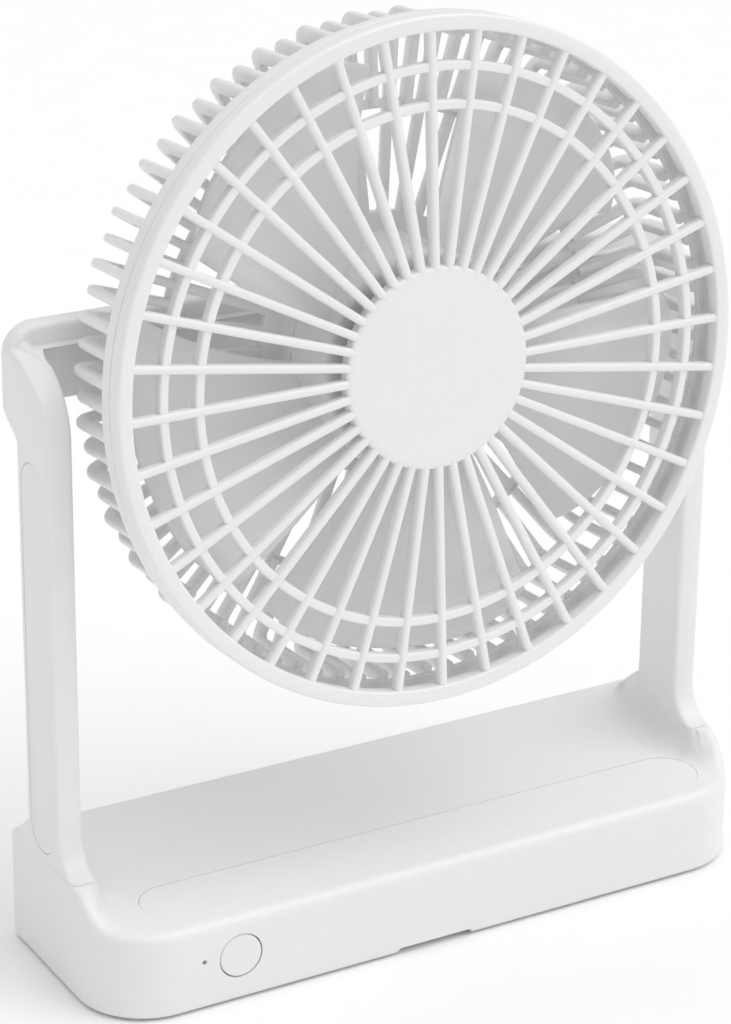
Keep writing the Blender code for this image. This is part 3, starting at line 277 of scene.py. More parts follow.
def turned(name: str, profile: Sequence[Point], place: Matrix, steps: int = 160,
           closed: bool = True) -> bpy.types.Object:
    """Turn a profile of (radius, height) points round an axis.

    Args:
        name: The object's name.
        profile: Points of the profile; a radius of zero closes on the axis.
        place: Where local Z and the origin go.
        steps: Sides of the turned shape.
        closed: The profile is a closed loop, as on a ring.

    Returns:
        The object.
    """
    rings = []
    for radius, height in profile:
        rings.append([place @ Vector((radius * math.cos(2 * math.pi * step / steps),
                                      radius * math.sin(2 * math.pi * step / steps), height))
                      for step in range(steps)])
    shape = rings_to_shape(rings, closed_ends=False, loop=closed)
    bmesh.ops.remove_doubles(shape, verts=shape.verts, dist=1e-7)
    return new_object(name, shape)


def arc(centre: Point, radius: float, start: float, end: float, steps: int) -> list[Point]:
    """Points of an arc between two angles in degrees, both ends included."""
    points = []
    for step in range(steps + 1):
        angle = math.radians(start + (end - start) * step / steps)
        points.append((centre[0] + radius * math.cos(angle), centre[1] + radius * math.sin(angle)))
    return points


def rounded(corners: Sequence[tuple[float, float, float]], steps: int = 5) -> list[Point]:
    """Round the corners of a polygon.

    Args:
        corners: Points with a rounding radius each.
        steps: Segments in each rounding.

    Returns:
        The outline's points.
    """
    points: list[Point] = []
    count = len(corners)
    for index, (x, y, radius) in enumerate(corners):
        here = Vector((x, y))
        if radius <= 0:
            points.append((x, y))
            continue
        before = (Vector(corners[index - 1][:2]) - here).normalized()
        after = (Vector(corners[(index + 1) % count][:2]) - here).normalized()
        half = math.acos(max(-1.0, min(1.0, before.dot(after)))) / 2
        reach = radius / math.tan(half)
        start, end = here + before * reach, here + after * reach
        centre = here + (before + after).normalized() * radius / math.sin(half)
        for step in range(steps + 1):
            blend = step / steps
            way = ((start - centre).lerp(end - centre, blend)).normalized()
            points.append(tuple(centre + way * radius))
    return points


def prism(name: str, outline: Sequence[Point], low: float, high: float,
          to_world: Callable[[float, float, float], Vector]) -> bpy.types.Object:
    """Extrude an outline between two depths.

    Args:
        name: The object's name.
        outline: The outline's points.
        low: First depth.
        high: Last depth.
        to_world: Places an outline point and a depth in the world.

    Returns:
        The object.
    """
    rings = [[to_world(a, b, depth) for a, b in outline] for depth in (low, high)]
    return new_object(name, rings_to_shape(rings))


def facing_up(a: float, b: float, depth: float) -> Vector:
    """A plan outline's point, with its depth measured upwards."""
    return Vector((a, b, depth))


def facing_front(a: float, b: float, depth: float) -> Vector:
    """A front outline's point, with its depth measured backwards."""
    return Vector((a, depth, b))


def facing_side(a: float, b: float, depth: float) -> Vector:
    """A side outline's point as (back, up), with its depth measured to the right."""
    return Vector((depth, a, b))


def upright_side(a: float, b: float, depth: float) -> Vector:
    """A side outline's point as (up, back), with its depth measured to the right."""
    return Vector((depth, b, a))


def middle_and_half(node: str, first: int, second: int) -> tuple[Point, Point]:
    """A CAD node's middle and half size along two axes.

    Args:
        node: The CAD node's name.
        first: Number of the first axis.
        second: Number of the second axis.

    Returns:
        The middle and the half size, each along both axes.
    """
    low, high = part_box(node)
    return (((high[first] + low[first]) / 2, (high[second] + low[second]) / 2),
            ((high[first] - low[first]) / 2, (high[second] - low[second]) / 2))


def smooth(share: float) -> float:
    """Ease a share from 0 to 1, held at both ends."""
    share = min(max(share, 0.0), 1.0)
    return share * share * (3 - 2 * share)


def pill(half_length: float, half_width: float, centre: Point, steps: int = 24) -> list[Point]:
    """A stadium outline, long in its first direction."""
    run = half_length - half_width
    right = arc((centre[0] + run, centre[1]), half_width, -90, 90, steps)
    left = arc((centre[0] - run, centre[1]), half_width, 90, 270, steps)
    return right + left


def pill_rings(half: Point, centre: Point, layers: Sequence[Point], steps: int,
               to_world: Callable[[float, float, float], Vector]) -> list[list[Vector]]:
    """Stadium outlines stacked as (inset, depth) layers, placed in the world."""
    return [[to_world(a, b, depth)
             for a, b in pill(half[0] - inset, half[1] - inset, centre, steps)]
            for inset, depth in layers]


def box_outline(low: Point, high: Point, low_corner: float, high_corner: float) -> list[Point]:
    """A rectangle with one rounding at its two low corners and one at its two high ones."""
    return rounded([(low[0], low[1], low_corner), (high[0], low[1], low_corner),
                    (high[0], high[1], high_corner), (low[0], high[1], high_corner)])


def combine(target: bpy.types.Object, tool: bpy.types.Object, operation: str) -> None:
    """Apply a Boolean and drop its tool."""
    step = target.modifiers.new("shape", "BOOLEAN")
    step.operation = operation
    step.solver = "EXACT"
    step.object = tool
    bake(target)
    bpy.data.objects.remove(tool, do_unlink=True)


def bake(thing: bpy.types.Object) -> None:
    """Turn an object's evaluated mesh into its own plain mesh, without modifiers."""
    graph = bpy.context.evaluated_depsgraph_get()
    mesh = bpy.data.meshes.new_from_object(thing.evaluated_get(graph))
    thing.modifiers.clear()
    old = thing.data
    thing.data = mesh
    bpy.data.meshes.remove(old)


def soften(thing: bpy.types.Object, width: float, segments: int = 3, angle: float = 35.0) -> None:
    """Round an object's sharp edges and keep the result as a plain mesh."""
    edge = thing.modifiers.new("edge", "BEVEL")
    edge.width = width
    edge.segments = segments
    edge.limit_method = "ANGLE"
    edge.angle_limit = math.radians(angle)
    edge.use_clamp_overlap = True
    bake(thing)


def merge(name: str, things: Sequence[bpy.types.Object]) -> bpy.types.Object:
    """Join several objects into one mesh object.

    Args:
        name: The joined object's name.
        things: The objects, which are removed.

    Returns:
        The joined object.
    """
    shape = bmesh.new()
    for thing in things:
        shape.from_mesh(thing.data)
        bpy.data.objects.remove(thing, do_unlink=True)
    mesh = bpy.data.meshes.new(name)
    shape.to_mesh(mesh)
    shape.free()
    return add_object(name, mesh)


@dataclass
class Workshop:
    """Finishes a piece: smooth faces, material, body and replaced nodes."""

    materials: dict[str, bpy.types.Material]
    nodes: dict[str, bpy.types.Object]

    def deliver(self, piece: bpy.types.Object, finish: str, body: str, slot: str,
                replaces: Sequence[str] = (), sharp: float = 40.0) -> bpy.types.Object:
        """Dress a piece and hand it to the frame.

        Args:
            piece: The finished mesh object.
            finish: Which finish it wears.
            body: The body that it moves with.
            slot: Not used.
            replaces: CAD nodes that it stands for.
            sharp: Edges over this angle in degrees stay crisp.

        Returns:
            The piece.
        """
        piece.data.materials.clear()
        piece.data.materials.append(self.materials[finish])
        piece.data.shade_smooth()
        piece.data.set_sharp_from_angle(angle=math.radians(sharp))
        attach(piece, body)
        if replaces:
            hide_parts(*replaces)
        log.info("%s: %d faces on %s", piece.name, len(piece.data.polygons), body)
        return piece

    def dress_node(self, node: str, finish: str) -> None:
        """Give a CAD node that stays in view its finish."""
        thing = self.nodes[node]
        thing.data.materials.clear()
        thing.data.materials.append(self.materials[finish])


# ---------------------------------------------------------------- repeated bars by Geometry Nodes
@dataclass
class RadialBars:
    """Equal bars round an axis, each a rounded section swept along a path in its own plane."""

    name: str
    count: int
    path: Sequence[Point]
    width: float
    depth: float
    edge: float
    bend: float = 0.0
    first_angle: float = 0.0

    def tree(self) -> bpy.types.NodeTree:
        """Build the node tree.

        Returns:
            A tree with named inputs for the bars' count, size, rounding and material.
        """
        tree = bpy.data.node_groups.new(self.name + " bars", "GeometryNodeTree")
        face = tree.interface
        face.new_socket("Path", in_out="INPUT", socket_type="NodeSocketGeometry")
        face.new_socket("Count", in_out="INPUT", socket_type="NodeSocketInt")
        for label in ("Width", "Depth", "Edge Radius", "Bend Radius", "First Angle"):
            face.new_socket(label, in_out="INPUT", socket_type="NodeSocketFloat")
        face.new_socket("Material", in_out="INPUT", socket_type="NodeSocketMaterial")
        face.new_socket("Geometry", in_out="OUTPUT", socket_type="NodeSocketGeometry")
        given = add_node(tree, "NodeGroupInput").outputs
        line = add_node(tree, "GeometryNodeMeshToCurve", links={"Mesh": given["Path"]})
        curve = add_node(tree, "GeometryNodeFilletCurve", {"mode": "POLY"},
                         {"Count": 6, "Limit Radius": True},
                         {"Curve": line.outputs[0], "Radius": given["Bend Radius"]})
        section = add_node(tree, "GeometryNodeCurvePrimitiveQuadrilateral",
                           links={"Width": given["Depth"], "Height": given["Width"]})
        soft = add_node(tree, "GeometryNodeFilletCurve", {"mode": "POLY"},
                        {"Count": 3, "Limit Radius": True},
                        {"Curve": section.outputs[0], "Radius": given["Edge Radius"]})
        bar = add_node(tree, "GeometryNodeCurveToMesh", values={"Fill Caps": True},
                       links={"Curve": curve.outputs[0], "Profile Curve": soft.outputs[0]})
        points = add_node(tree, "GeometryNodePoints", links={"Count": given["Count"]})
        index = add_node(tree, "GeometryNodeInputIndex")
        turn = add_node(tree, "ShaderNodeMath", {"operation": "DIVIDE"}, {0: 2 * math.pi},
                        {1: given["Count"]})
        angle = add_node(tree, "ShaderNodeMath", {"operation": "MULTIPLY_ADD"},
                         links={0: index.outputs[0], 1: turn.outputs[0], 2: given["First Angle"]})
        rotation = add_node(tree, "ShaderNodeCombineXYZ", links={"Z": angle.outputs[0]})
        copies = add_node(tree, "GeometryNodeInstanceOnPoints",
                          links={"Points": points.outputs[0], "Instance": bar.outputs[0],
                                 "Rotation": rotation.outputs[0]})
        real = add_node(tree, "GeometryNodeRealizeInstances", links={0: copies.outputs[0]})
        dressed = add_node(tree, "GeometryNodeSetMaterial",
                           links={"Geometry": real.outputs[0], "Material": given["Material"]})
        add_node(tree, "NodeGroupOutput", links={0: dressed.outputs[0]})
        return tree

    def build(self, material: bpy.types.Material, place: Matrix) -> bpy.types.Object:
        """Run the tree and keep its result as a plain mesh.

        Args:
            material: The bars' material.
            place: Moves the bars from their own axis to the world.

        Returns:
            The bars as one object.
        """
        mesh = bpy.data.meshes.new(self.name)
        points = [(radius, 0.0, height) for radius, height in self.path]
        mesh.from_pydata(points, [(i, i + 1) for i in range(len(points) - 1)], [])
        thing = add_object(self.name, mesh)
        step = thing.modifiers.new("bars", "NODES")
        step.node_group = self.tree()
        chosen = {"Count": self.count, "Width": self.width, "Depth": self.depth,
                  "Edge Radius": self.edge, "Bend Radius": self.bend,
                  "First Angle": self.first_angle, "Material": material}
        for socket in step.node_group.interface.items_tree:
            if socket.name in chosen and socket.in_out == "INPUT":
                step[socket.identifier] = chosen[socket.name]
        bake(thing)
        thing.data.transform(place)
        return thing


# ---------------------------------------------------------------- stand
@dataclass
class StandHousing:
    """The base shell: a rounded plan, a flat ledge, a hollow rise and two raised ends."""

    shop: Workshop
    low: Vector
    high: Vector
    foot: float = 0.8 * MM
    ledge: float = 23.9 * MM
    rear_top: float = 30.6 * MM
    corner: float = 19.0 * MM
    rear_corner: float = 3.0 * MM
    wall: float = 2.2 * MM
    trough_start: float = -1.1 * MM
    ledge_edge: float = 2.8 * MM
    end_edge: float = 1.6 * MM
    rear_edge: float = 0.5 * MM
    bottom_edge: float = 1.4 * MM
    shoulder_front: float = -22.5 * MM
    shoulder_top: float = 31.8 * MM
    seat_front: float = -9.3 * MM
    seat_rear: float = 39.4 * MM
    arm_front: float = -0.6 * MM
    arm_back: float = 16.9 * MM
    arm_inner: float = 90.0 * MM
    flare: float = 9.0 * MM
    front_flare: float = 4.0 * MM
    fan_out: float = 4.5 * MM
    flare_margin: float = 0.8 * MM
    seat_gap: float = 0.1 * MM
    seat_level_share: float = 0.35
    seat_curve: float = 1.6
    crisp_run: float = 3 * MM
    rear_edge_start: float = 2 * MM  # behind the arms
    bottom_tuck: float = 0.6
    side_shares: Point = (0.35, 0.7)
    rear_rim: float = 2.5 * MM
    edge_margin: float = 0.3 * MM
    smallest_corner: float = 0.02 * MM
    side_top: float = 3.0 * MM
    fine_pitch: float = 0.45 * MM
    coarse_pitch: float = 1.8 * MM
    fine_run: float = 18 * MM
    pane_lip: float = 0.8 * MM
    pane_seam: float = 0.08 * MM
    pane_thickness: float = 2.4 * MM
    pane_lip_low: float = 3.4 * MM
    pane_lip_high: float = 2.5 * MM
    pane_edge: tuple[Point, ...] = ((0.0, 0.22 * MM), (0.06 * MM, 0.07 * MM),
                                    (0.22 * MM, 0.01 * MM), (0.6 * MM, 0.0))
    window_reach: Point = (8 * MM, 5 * MM)  # of its cutter, below and above the ledge
    pinhole: float = 0.65 * MM
    notch_left: float = -14.85 * MM
    notch_right: float = 7.65 * MM
    notch_height: float = 1.4 * MM
    notch_corner: float = 1.2 * MM
    button_dish: float = 0.15 * MM
    button_edge: float = 0.45 * MM
    button_lip: float = 1.1 * MM
    button_lip_depth: float = 1.0 * MM
    stem_radius: float = 1.5 * MM
    stem_overlap: float = 0.9 * MM

    def section(self, y: float) -> float:
        """Height of the top between the arms at a distance from front to back."""
        run = self.high.y - self.trough_start
        rise = self.rear_top - self.ledge
        radius = (run ** 2 + rise ** 2) / (2 * rise)
        back = min(max(y - self.trough_start, 0.0), run)
        return self.ledge + radius - math.sqrt(radius ** 2 - back ** 2)

    def seat(self, y: float) -> float:
        """Height of the end's top under and round an arm at a distance from front to back."""
        if y <= self.seat_front:
            share = max((y - self.shoulder_front) / (self.seat_front - self.shoulder_front), 0.0)
            return self.ledge + (self.shoulder_top - self.ledge) * (1 - math.cos(math.pi * share)) / 2
        bend = self.arm_front + (self.arm_back - self.arm_front) * self.seat_level_share
        if y <= bend:
            return self.shoulder_top
        if y <= self.arm_back:
            share = (y - bend) / (self.arm_back - bend)
            return self.shoulder_top + (self.seat_rear - self.shoulder_top) * share ** self.seat_curve
        share = min((y - self.arm_back) / (self.high.y - self.rear_rim - self.arm_back), 1.0)
        return self.seat_rear + (self.rear_top - self.seat_rear) * share

    def top(self, x: float, y: float, raised: bool = True) -> float:
        """Height of the top surface.

        Args:
            x: Place along the base.
            y: Place from front to back.
            raised: Include the raised ends.

        Returns:
            The height.
        """
        height = self.section(y)
        if raised:
            front = smooth((self.seat_front - y) / self.fan_out)
            back = smooth((y - self.seat_front) / self.fan_out)
            end = self.arm_inner + (self.high.x - self.flare_margin - self.arm_inner) * front
            flare = self.front_flare + (self.flare - self.front_flare) * max(front, back)
            share = min(max((abs(x) - end + flare) / flare, 0.0), 1.0)
            curve = 1 - math.sqrt(1 - share * share)
            curve += (smooth(share) - curve) * front
            height += max(self.seat(y) - height, 0.0) * curve
        return height

    def plan(self, inset: float, long_steps: int = 96, short_steps: int = 30,
             corner_steps: int = 14) -> list[Point]:
        """The plan outline drawn in by an inset, always with the same number of points."""
        x = self.high.x - inset
        y = self.high.y - inset
        front = max(self.corner - inset, self.smallest_corner)
        rear = max(self.rear_corner - inset, self.smallest_corner)
        loop: list[Point] = []

        def run(start: Point, end: Point, steps: int) -> None:
            """Add points of a straight side, without its ends."""
            for step in range(1, steps):
                share = step / steps
                loop.append((start[0] + (end[0] - start[0]) * share,
                             start[1] + (end[1] - start[1]) * share))

        loop += arc((-x + front, -y + front), front, 180, 270, corner_steps)
        run((-x + front, -y), (x - front, -y), long_steps)
        loop += arc((x - front, -y + front), front, 270, 360, corner_steps)
        run((x, -y + front), (x, y - rear), short_steps)
        loop += arc((x - rear, y - rear), rear, 0, 90, corner_steps)
        run((x - rear, y), (-x + rear, y), long_steps)
        loop += arc((-x + rear, y - rear), rear, 90, 180, corner_steps)
        run((-x, y - rear), (-x, -y + front), short_steps)
        return loop

    def edge_at(self, x: float, y: float) -> float:
        """Rounding of the top's rim: full in front, smaller at the ends, crisp at the rear."""
        if y > self.arm_back + self.rear_edge_start:
            return self.rear_edge
        front = -self.high.y + self.corner
        if y < front:
            return self.ledge_edge
        if y < self.seat_front:
            share = (y - front) / (self.seat_front - front)
            return self.ledge_edge + (self.end_edge - self.ledge_edge) * share
        share = min((y - self.seat_front) / self.crisp_run, 1.0)
        return self.end_edge + (self.seat_gap - self.end_edge) * share

    def skin(self, name: str, inset: float = 0.0, drop: float = 0.0, floor: float | None = None,
             raised: bool = True) -> bpy.types.Object:
        """The closed outer form, or a smaller one inside it.

        Args:
            name: The object's name.
            inset: How far inside the outer sides.
            drop: How far below the outer top.
            floor: Height of the underside.
            raised: Include the raised ends.

        Returns:
            The object.
        """
        floor = self.foot if floor is None else floor
        outer = self.plan(inset)

        def layer(depth: float) -> list[Vector]:
            """Points of the top along the plan outline drawn in by a depth."""
            return [Vector((a, b, self.top(a, b, raised) - drop)) for a, b in self.plan(depth)]

        rings: list[list[Vector]] = []
        if inset == 0.0:
            for angle in (0, 30, 60, 90):
                turn = math.radians(angle)
                shift = self.bottom_edge * (1 - math.sin(turn))
                rings.append([Vector((a, b, floor + self.bottom_edge * (1 - math.cos(turn))))
                              for a, b in self.plan(shift * self.bottom_tuck)])
        else:
            rings.append([Vector((a, b, floor)) for a, b in outer])
        for share in self.side_shares:
            rings.append([Vector((a, b, floor + share * (self.top(a, b, raised) - drop - floor
                                                         - self.side_top))) for a, b in outer])
        for angle in (0, 15, 30, 45, 60, 75, 90):
            turn = math.radians(angle)
            ring = []
            for (a, b), (c, d) in zip(outer, self.plan(inset + MM)):
                edge = self.edge_at(a, b)
                reach = edge * (1 - math.cos(turn)) / MM
                x, y = a + (c - a) * reach, b + (d - b) * reach
                ring.append(Vector((x, y, self.top(x, y, raised) - drop
                                    - edge * (1 - math.sin(turn)))))
            rings.append(ring)
        depth = inset + self.ledge_edge + self.edge_margin
        last = self.high.y - self.edge_margin
        while depth < last:
            rings.append(layer(depth))
            depth += self.fine_pitch if depth < self.fine_run else self.coarse_pitch
        rings.append(layer(last))
        return new_object(name, rings_to_shape(rings))

    def build(self) -> None:
        """Make the shell with its openings, the light window, the button and the lens."""
        shell = self.skin("stand_shell")
        combine(shell, self.skin("cavity", self.wall, self.wall, self.foot - PAST, raised=False),
                "DIFFERENCE")
        centre, (half_l, half_w) = middle_and_half("light_diffuser", 0, 1)
        half_l, half_w = half_l - self.pane_lip, half_w - self.pane_lip
        (button_x, button_z), (button_r, _) = middle_and_half("power_button", 0, 2)
        button_r -= self.button_lip
        lens, _ = middle_and_half("indicator_lens", 0, 2)
        (_, inlet_z), (inlet_x, inlet_h) = middle_and_half("charge_socket", 0, 2)
        front, rear = self.low.y, self.high.y
        inside = front + self.wall + PAST
        window = pill(half_l + self.pane_seam, half_w + self.pane_seam, centre)
        inlet = pill(inlet_x + CLEARANCE, inlet_h + CLEARANCE, (0.0, inlet_z))
        ring = arc((button_x, button_z), button_r + CLEARANCE, 0, 354, 59)
        notch = box_outline((self.notch_left, self.foot - PAST),
                            (self.notch_right, self.foot + self.notch_height),
                            0.0, self.notch_corner)
        below, above = self.window_reach
        for tool in (
                prism("window", window, self.ledge - below, self.ledge + above, facing_up),
                prism("button_hole", ring, front - PAST, inside, facing_front),
                prism("lens_hole", arc(lens, self.pinhole, 0, 345, 23), front - PAST, inside,
                      facing_front),
                prism("inlet_hole", inlet, rear - self.wall - PAST, rear + PAST, facing_front),
                prism("notch", notch, front - PAST, front + self.wall + CLEARANCE, facing_front)):
            combine(shell, tool, "DIFFERENCE")
        self.shop.deliver(shell, "housing", "stand", "housing", ["base_shell"], sharp=38)
        self.window(half_l, half_w, centre)
        self.button(button_x, button_z, button_r)
        self.lens_piece(lens)

    def window(self, half_l: float, half_w: float, centre: Point) -> None:
        """The milky light window, level with the ledge, with a soft edge and its lip below."""
        layers = [(inset, self.ledge - drop)
                  for inset, drop in ((0.0, self.pane_thickness),) + self.pane_edge]
        rings = pill_rings((half_l, half_w), centre, layers, 32, facing_up)
        pane = new_object("light_window", rings_to_shape(rings))
        outline = pill(half_l + self.pane_lip, half_w + self.pane_lip, centre, 32)
        rim = prism("rim", outline, self.ledge - self.pane_lip_low, self.ledge - self.pane_lip_high,
                    facing_up)
        pane = merge("light_window", [pane, rim])
        self.shop.deliver(pane, "diffuser", "stand", "diffuser", ["light_diffuser"])

    def button(self, x: float, z: float, radius: float) -> None:
        """The round push button: a slightly dished face, a soft edge and the lip behind the wall."""
        place = Matrix.Translation((x, self.low.y, z)) @ Matrix.Rotation(math.pi / 2, 4, "X")
        face = [(0.0, -self.button_dish)]
        face += [(radius * share, -self.button_dish * (1 - share ** 2)) for share in (0.3, 0.6, 0.8)]
        edge = self.button_edge
        face += arc((radius - edge, -edge), edge, 90, 0, 5)
        lip = self.wall + CLEARANCE
        wide, back = radius + self.button_lip, -lip - self.button_lip_depth
        face += [(radius, -lip), (wide, -lip), (wide, back), (0.0, back)]
        cap = turned("push_button", face, place, 96, closed=False)
        low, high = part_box("power_button")
        start = lip + self.stem_overlap
        end = -(high[1] - low[1]) + start
        stem = turned("stem", [(0.0, 0.0), (self.stem_radius, 0.0), (self.stem_radius, end),
                               (0.0, end)],
                      place @ Matrix.Translation((0, 0, -start)), 32, closed=False)
        cap = merge("push_button", [cap, stem])
        self.shop.deliver(cap, "housing", "button", "housing", ["power_button"])

    def lens_piece(self, lens: Point) -> None:
        """The small indicator light guide behind its pinhole."""
        low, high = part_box("indicator_lens")
        place = Matrix.Translation((lens[0], low[1], lens[1])) @ Matrix.Rotation(math.pi / 2, 4, "X")
        radius = (high[0] - low[0]) / 2
        length = high[1] - low[1]
        dome = [(0.0, 0.0), (radius * 0.6, -0.08 * MM), (radius * 0.9, -0.3 * MM),
                (radius, -0.6 * MM), (radius, -length), (0.0, -length)]
        piece = turned("indicator_light_guide", dome, place, 40, closed=False)
        self.shop.deliver(piece, "diffuser", "stand", "diffuser", ["indicator_lens"])


@dataclass
class CarryFrame:
    """The hoop: two arms that sweep back at the top and run on as the crossbar."""

    shop: Workshop
    housing: StandHousing
    high: Vector
    thickness: float = 7.3 * MM
    crossbar_front: float = 19.2 * MM
    crossbar_back: float = 24.8 * MM
    crossbar_low: float = 150.0 * MM
    bend: float = 146.3 * MM
    bend_rise: float = 18.4 * MM
    corner: float = 8.0 * MM
    fillet: float = 10.0 * MM
    step_low: float = 141.8 * MM
    step_high: float = 148.8 * MM
    front_edge: float = 1.5 * MM
    rear_edge: float = 0.9 * MM
    band: float = 5.8 * MM
    tip_margin: float = 0.35 * MM
    tip_drops: Point3 = (3.5 * MM, 0.8 * MM, 0.2 * MM)  # of the foot's first sections
    steepest_lean: float = 0.985
    foot_margin: float = 1.0 * MM
    sweep_margin: float = 1.0 * MM
    panel_overlap: float = 0.8 * MM
    panel_below_top: float = 2 * MM
    panel_front_edge: float = 0.8 * MM
    panel_back_edge: float = 1.6 * MM
    recess_corner: float = 1.2 * MM
    cover_seam: float = 0.12 * MM
    groove_depth: float = 1.6 * MM
    cover_edge: tuple[Point, ...] = ((0.0, 1.3 * MM), (0.0, 0.22 * MM), (0.08 * MM, 0.07 * MM),
                                     (0.25 * MM, 0.01 * MM))

    def front_at(self, z: float) -> float:
        """Where the front face lies at a height: filleted foot, straight arm, swept top."""
        arm = self.housing.arm_front
        fillet_z = self.housing.shoulder_top + self.fillet
        if z < fillet_z:
            drop = min(fillet_z - z, self.fillet)
            return max(arm - self.fillet + math.sqrt(self.fillet ** 2 - drop ** 2),
                       self.housing.seat_front + self.tip_margin)
        if z < self.bend:
            return arm
        reach = self.crossbar_front + self.sweep_margin - arm
        share = min((z - self.bend) / self.bend_rise, 1.0)
        return min(arm + reach * (1 - math.sqrt(1 - share ** 2)), self.crossbar_front)

    def back_at(self, z: float) -> float:
        """Where the rear face lies at a height: it steps back below the crossbar."""
        share = min(max((z - self.step_low) / (self.step_high - self.step_low), 0.0), 1.0)
        ease = (1 - math.cos(math.pi * share)) / 2
        return self.housing.arm_back + (self.crossbar_back - self.housing.arm_back) * ease

    def ring(self, centre: Point, normal: Point, half: float) -> list[Vector]:
        """One section of the hoop.

        Args:
            centre: Middle of the section as x and z.
            normal: In-plane direction of the hoop's outer side, as x and z.
            half: Half of the hoop's in-plane thickness.

        Returns:
            The section's points, front face first.
        """
        outline = []
        for sign, edge, front in ((-1, self.front_edge, True), (1, self.front_edge, True),
                                  (1, self.rear_edge, False), (-1, self.rear_edge, False)):
            start = {(-1, True): 180, (1, True): 270, (1, False): 0, (-1, False): 90}[(sign, front)]
            for q, f in arc((0.0, 0.0), edge, start, start + 90, 5):
                outline.append((sign * (half - edge) + q, (f + edge) if front else (f - edge), front))
        points = []
        for offset, shift, front in outline:
            x = centre[0] + normal[0] * offset
            z = centre[1] + normal[1] * offset
            if not front:
                points.append(Vector((x, self.back_at(z) + shift, z)))
                continue
            lean = self.lean_at(z)
            y = self.front_at(z) + shift * math.cos(lean)
            points.append(Vector((x, y, z - shift * math.sin(lean))))
        return points

    def lean_at(self, z: float) -> float:
        """How far the front face leans back from upright in the foot's fillet, in radians."""
        drop = self.housing.shoulder_top + self.fillet - z
        return math.asin(min(max(drop / self.fillet, 0.0), self.steepest_lean))

    def foot_heights(self) -> list[float]:
        """Heights of the sections through an arm's foot, close together in its fillet."""
        low = self.housing.shoulder_top
        tip = [low - drop for drop in self.tip_drops]
        return tip + [low + self.fillet * (1 - math.cos(math.radians(angle)))
                      for angle in range(9, 91, 6)]

    def seat_cutter(self) -> bpy.types.Object:
        """A block with the seat's curve on top, which gives the feet their under-sides."""
        seat = self.housing
        start, end = seat.seat_front - 4 * MM, seat.arm_back + PAST
        steps = 60
        line = []
        for step in range(steps + 1):
            y = start + (end - start) * step / steps
            level = max(y, seat.seat_front + 0.01 * MM)
            line.append((y, seat.seat(min(level, seat.arm_back)) + seat.seat_gap))
        low = seat.ledge - 6 * MM
        outline = [(start, low)] + line + [(end, low)]
        reach = self.high.x + 5 * MM
        return prism("seat", outline, -reach, reach, facing_side)

    def hoop(self) -> bpy.types.Object:
        """Skin the hoop from the left foot over the top to the right foot."""
        half = self.thickness / 2
        top_half = self.band / 2
        left = -self.high.x + half
        level = self.housing.shoulder_top + self.fillet + self.foot_margin
        corner_z = self.high.z - self.corner
        rings = [self.ring((left, height), (-1, 0), half) for height in self.foot_heights()]
        straight = 60
        for step in range(straight):
            rings.append(self.ring((left, level + (corner_z - level) * step / straight), (-1, 0), half))
        turn_steps = 14
        for step in range(turn_steps + 1):
            angle = math.radians(180 - 90 * step / turn_steps)
            way = (math.cos(angle), math.sin(angle))
            share = step / turn_steps
            thin = half + (top_half - half) * share
            radius = self.corner - thin
            centre = (-self.high.x + self.corner + way[0] * radius, corner_z + way[1] * radius)
            rings.append(self.ring(centre, way, thin))
        across = 40
        start_x = -self.high.x + self.corner
        for step in range(1, across // 2):
            x = start_x * (1 - step / (across / 2))
            rings.append(self.ring((x, self.high.z - top_half), (0, 1), top_half))
        rings.append(self.ring((0.0, self.high.z - top_half), (0, 1), top_half))
        mirrored = [[Vector((-p.x, p.y, p.z)) for p in ring] for ring in rings[:-1]]
        return new_object("carry_frame", rings_to_shape(rings + mirrored[::-1]))

    def build(self) -> None:
        """Make the hoop with its crossbar panel, recess and cover grooves, and the two covers."""
        hoop = self.hoop()
        inner = self.high.x - self.thickness + self.panel_overlap
        top = self.high.z - self.panel_below_top
        outline = rounded([(self.crossbar_front, self.crossbar_low, self.panel_front_edge),
                           (self.crossbar_back, self.crossbar_low, self.panel_back_edge),
                           (self.crossbar_back, top, 0.0), (self.crossbar_front, top, 0.0)])
        combine(hoop, prism("panel", outline, -inner, inner, facing_side), "UNION")
        combine(hoop, self.seat_cutter(), "DIFFERENCE")
        plate_low, plate_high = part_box("tilt_bracket")
        side, floor = plate_high[0] + CLEARANCE, plate_low[2] - CLEARANCE
        recess = box_outline((-side, floor), (side, plate_high[2] + CLEARANCE),
                             self.recess_corner, self.recess_corner)
        combine(hoop, prism("recess", recess, self.crossbar_front - 5 * MM,
                            plate_high[1] + CLEARANCE, facing_front), "DIFFERENCE")
        for side_name, sign in (("left", -1), ("right", 1)):
            centre, (half_l, half_w) = middle_and_half("arm_cover_" + side_name, 2, 1)
            outer = sign * self.high.x
            groove = pill(half_l + self.cover_seam, half_w + self.cover_seam, centre, 28)
            combine(hoop, prism("groove", groove, outer - sign * self.groove_depth,
                                outer + sign * 2 * MM, upright_side), "DIFFERENCE")
            layers = [(inset, outer - sign * drop) for inset, drop in self.cover_edge]
            rings = pill_rings((half_l, half_w), centre, layers, 28, upright_side)
            strip = new_object("arm_strip_" + side_name, rings_to_shape(rings))
            self.shop.deliver(strip, "housing", "stand", "housing", ["arm_cover_" + side_name])
        self.shop.deliver(hoop, "housing", "stand", "housing", ["frame_hoop"], sharp=32)


# ---------------------------------------------------------------- head
@dataclass
class OnAxis:
    """A sub-assembly on the fan's axis, with depths measured back from the front plane."""

    shop: Workshop
    place: Matrix
    reach: float = 36.9 * MM

    def at(self, depth: float) -> float:
        """Height along the fan's axis of a depth behind the front plane."""
        return self.reach - depth


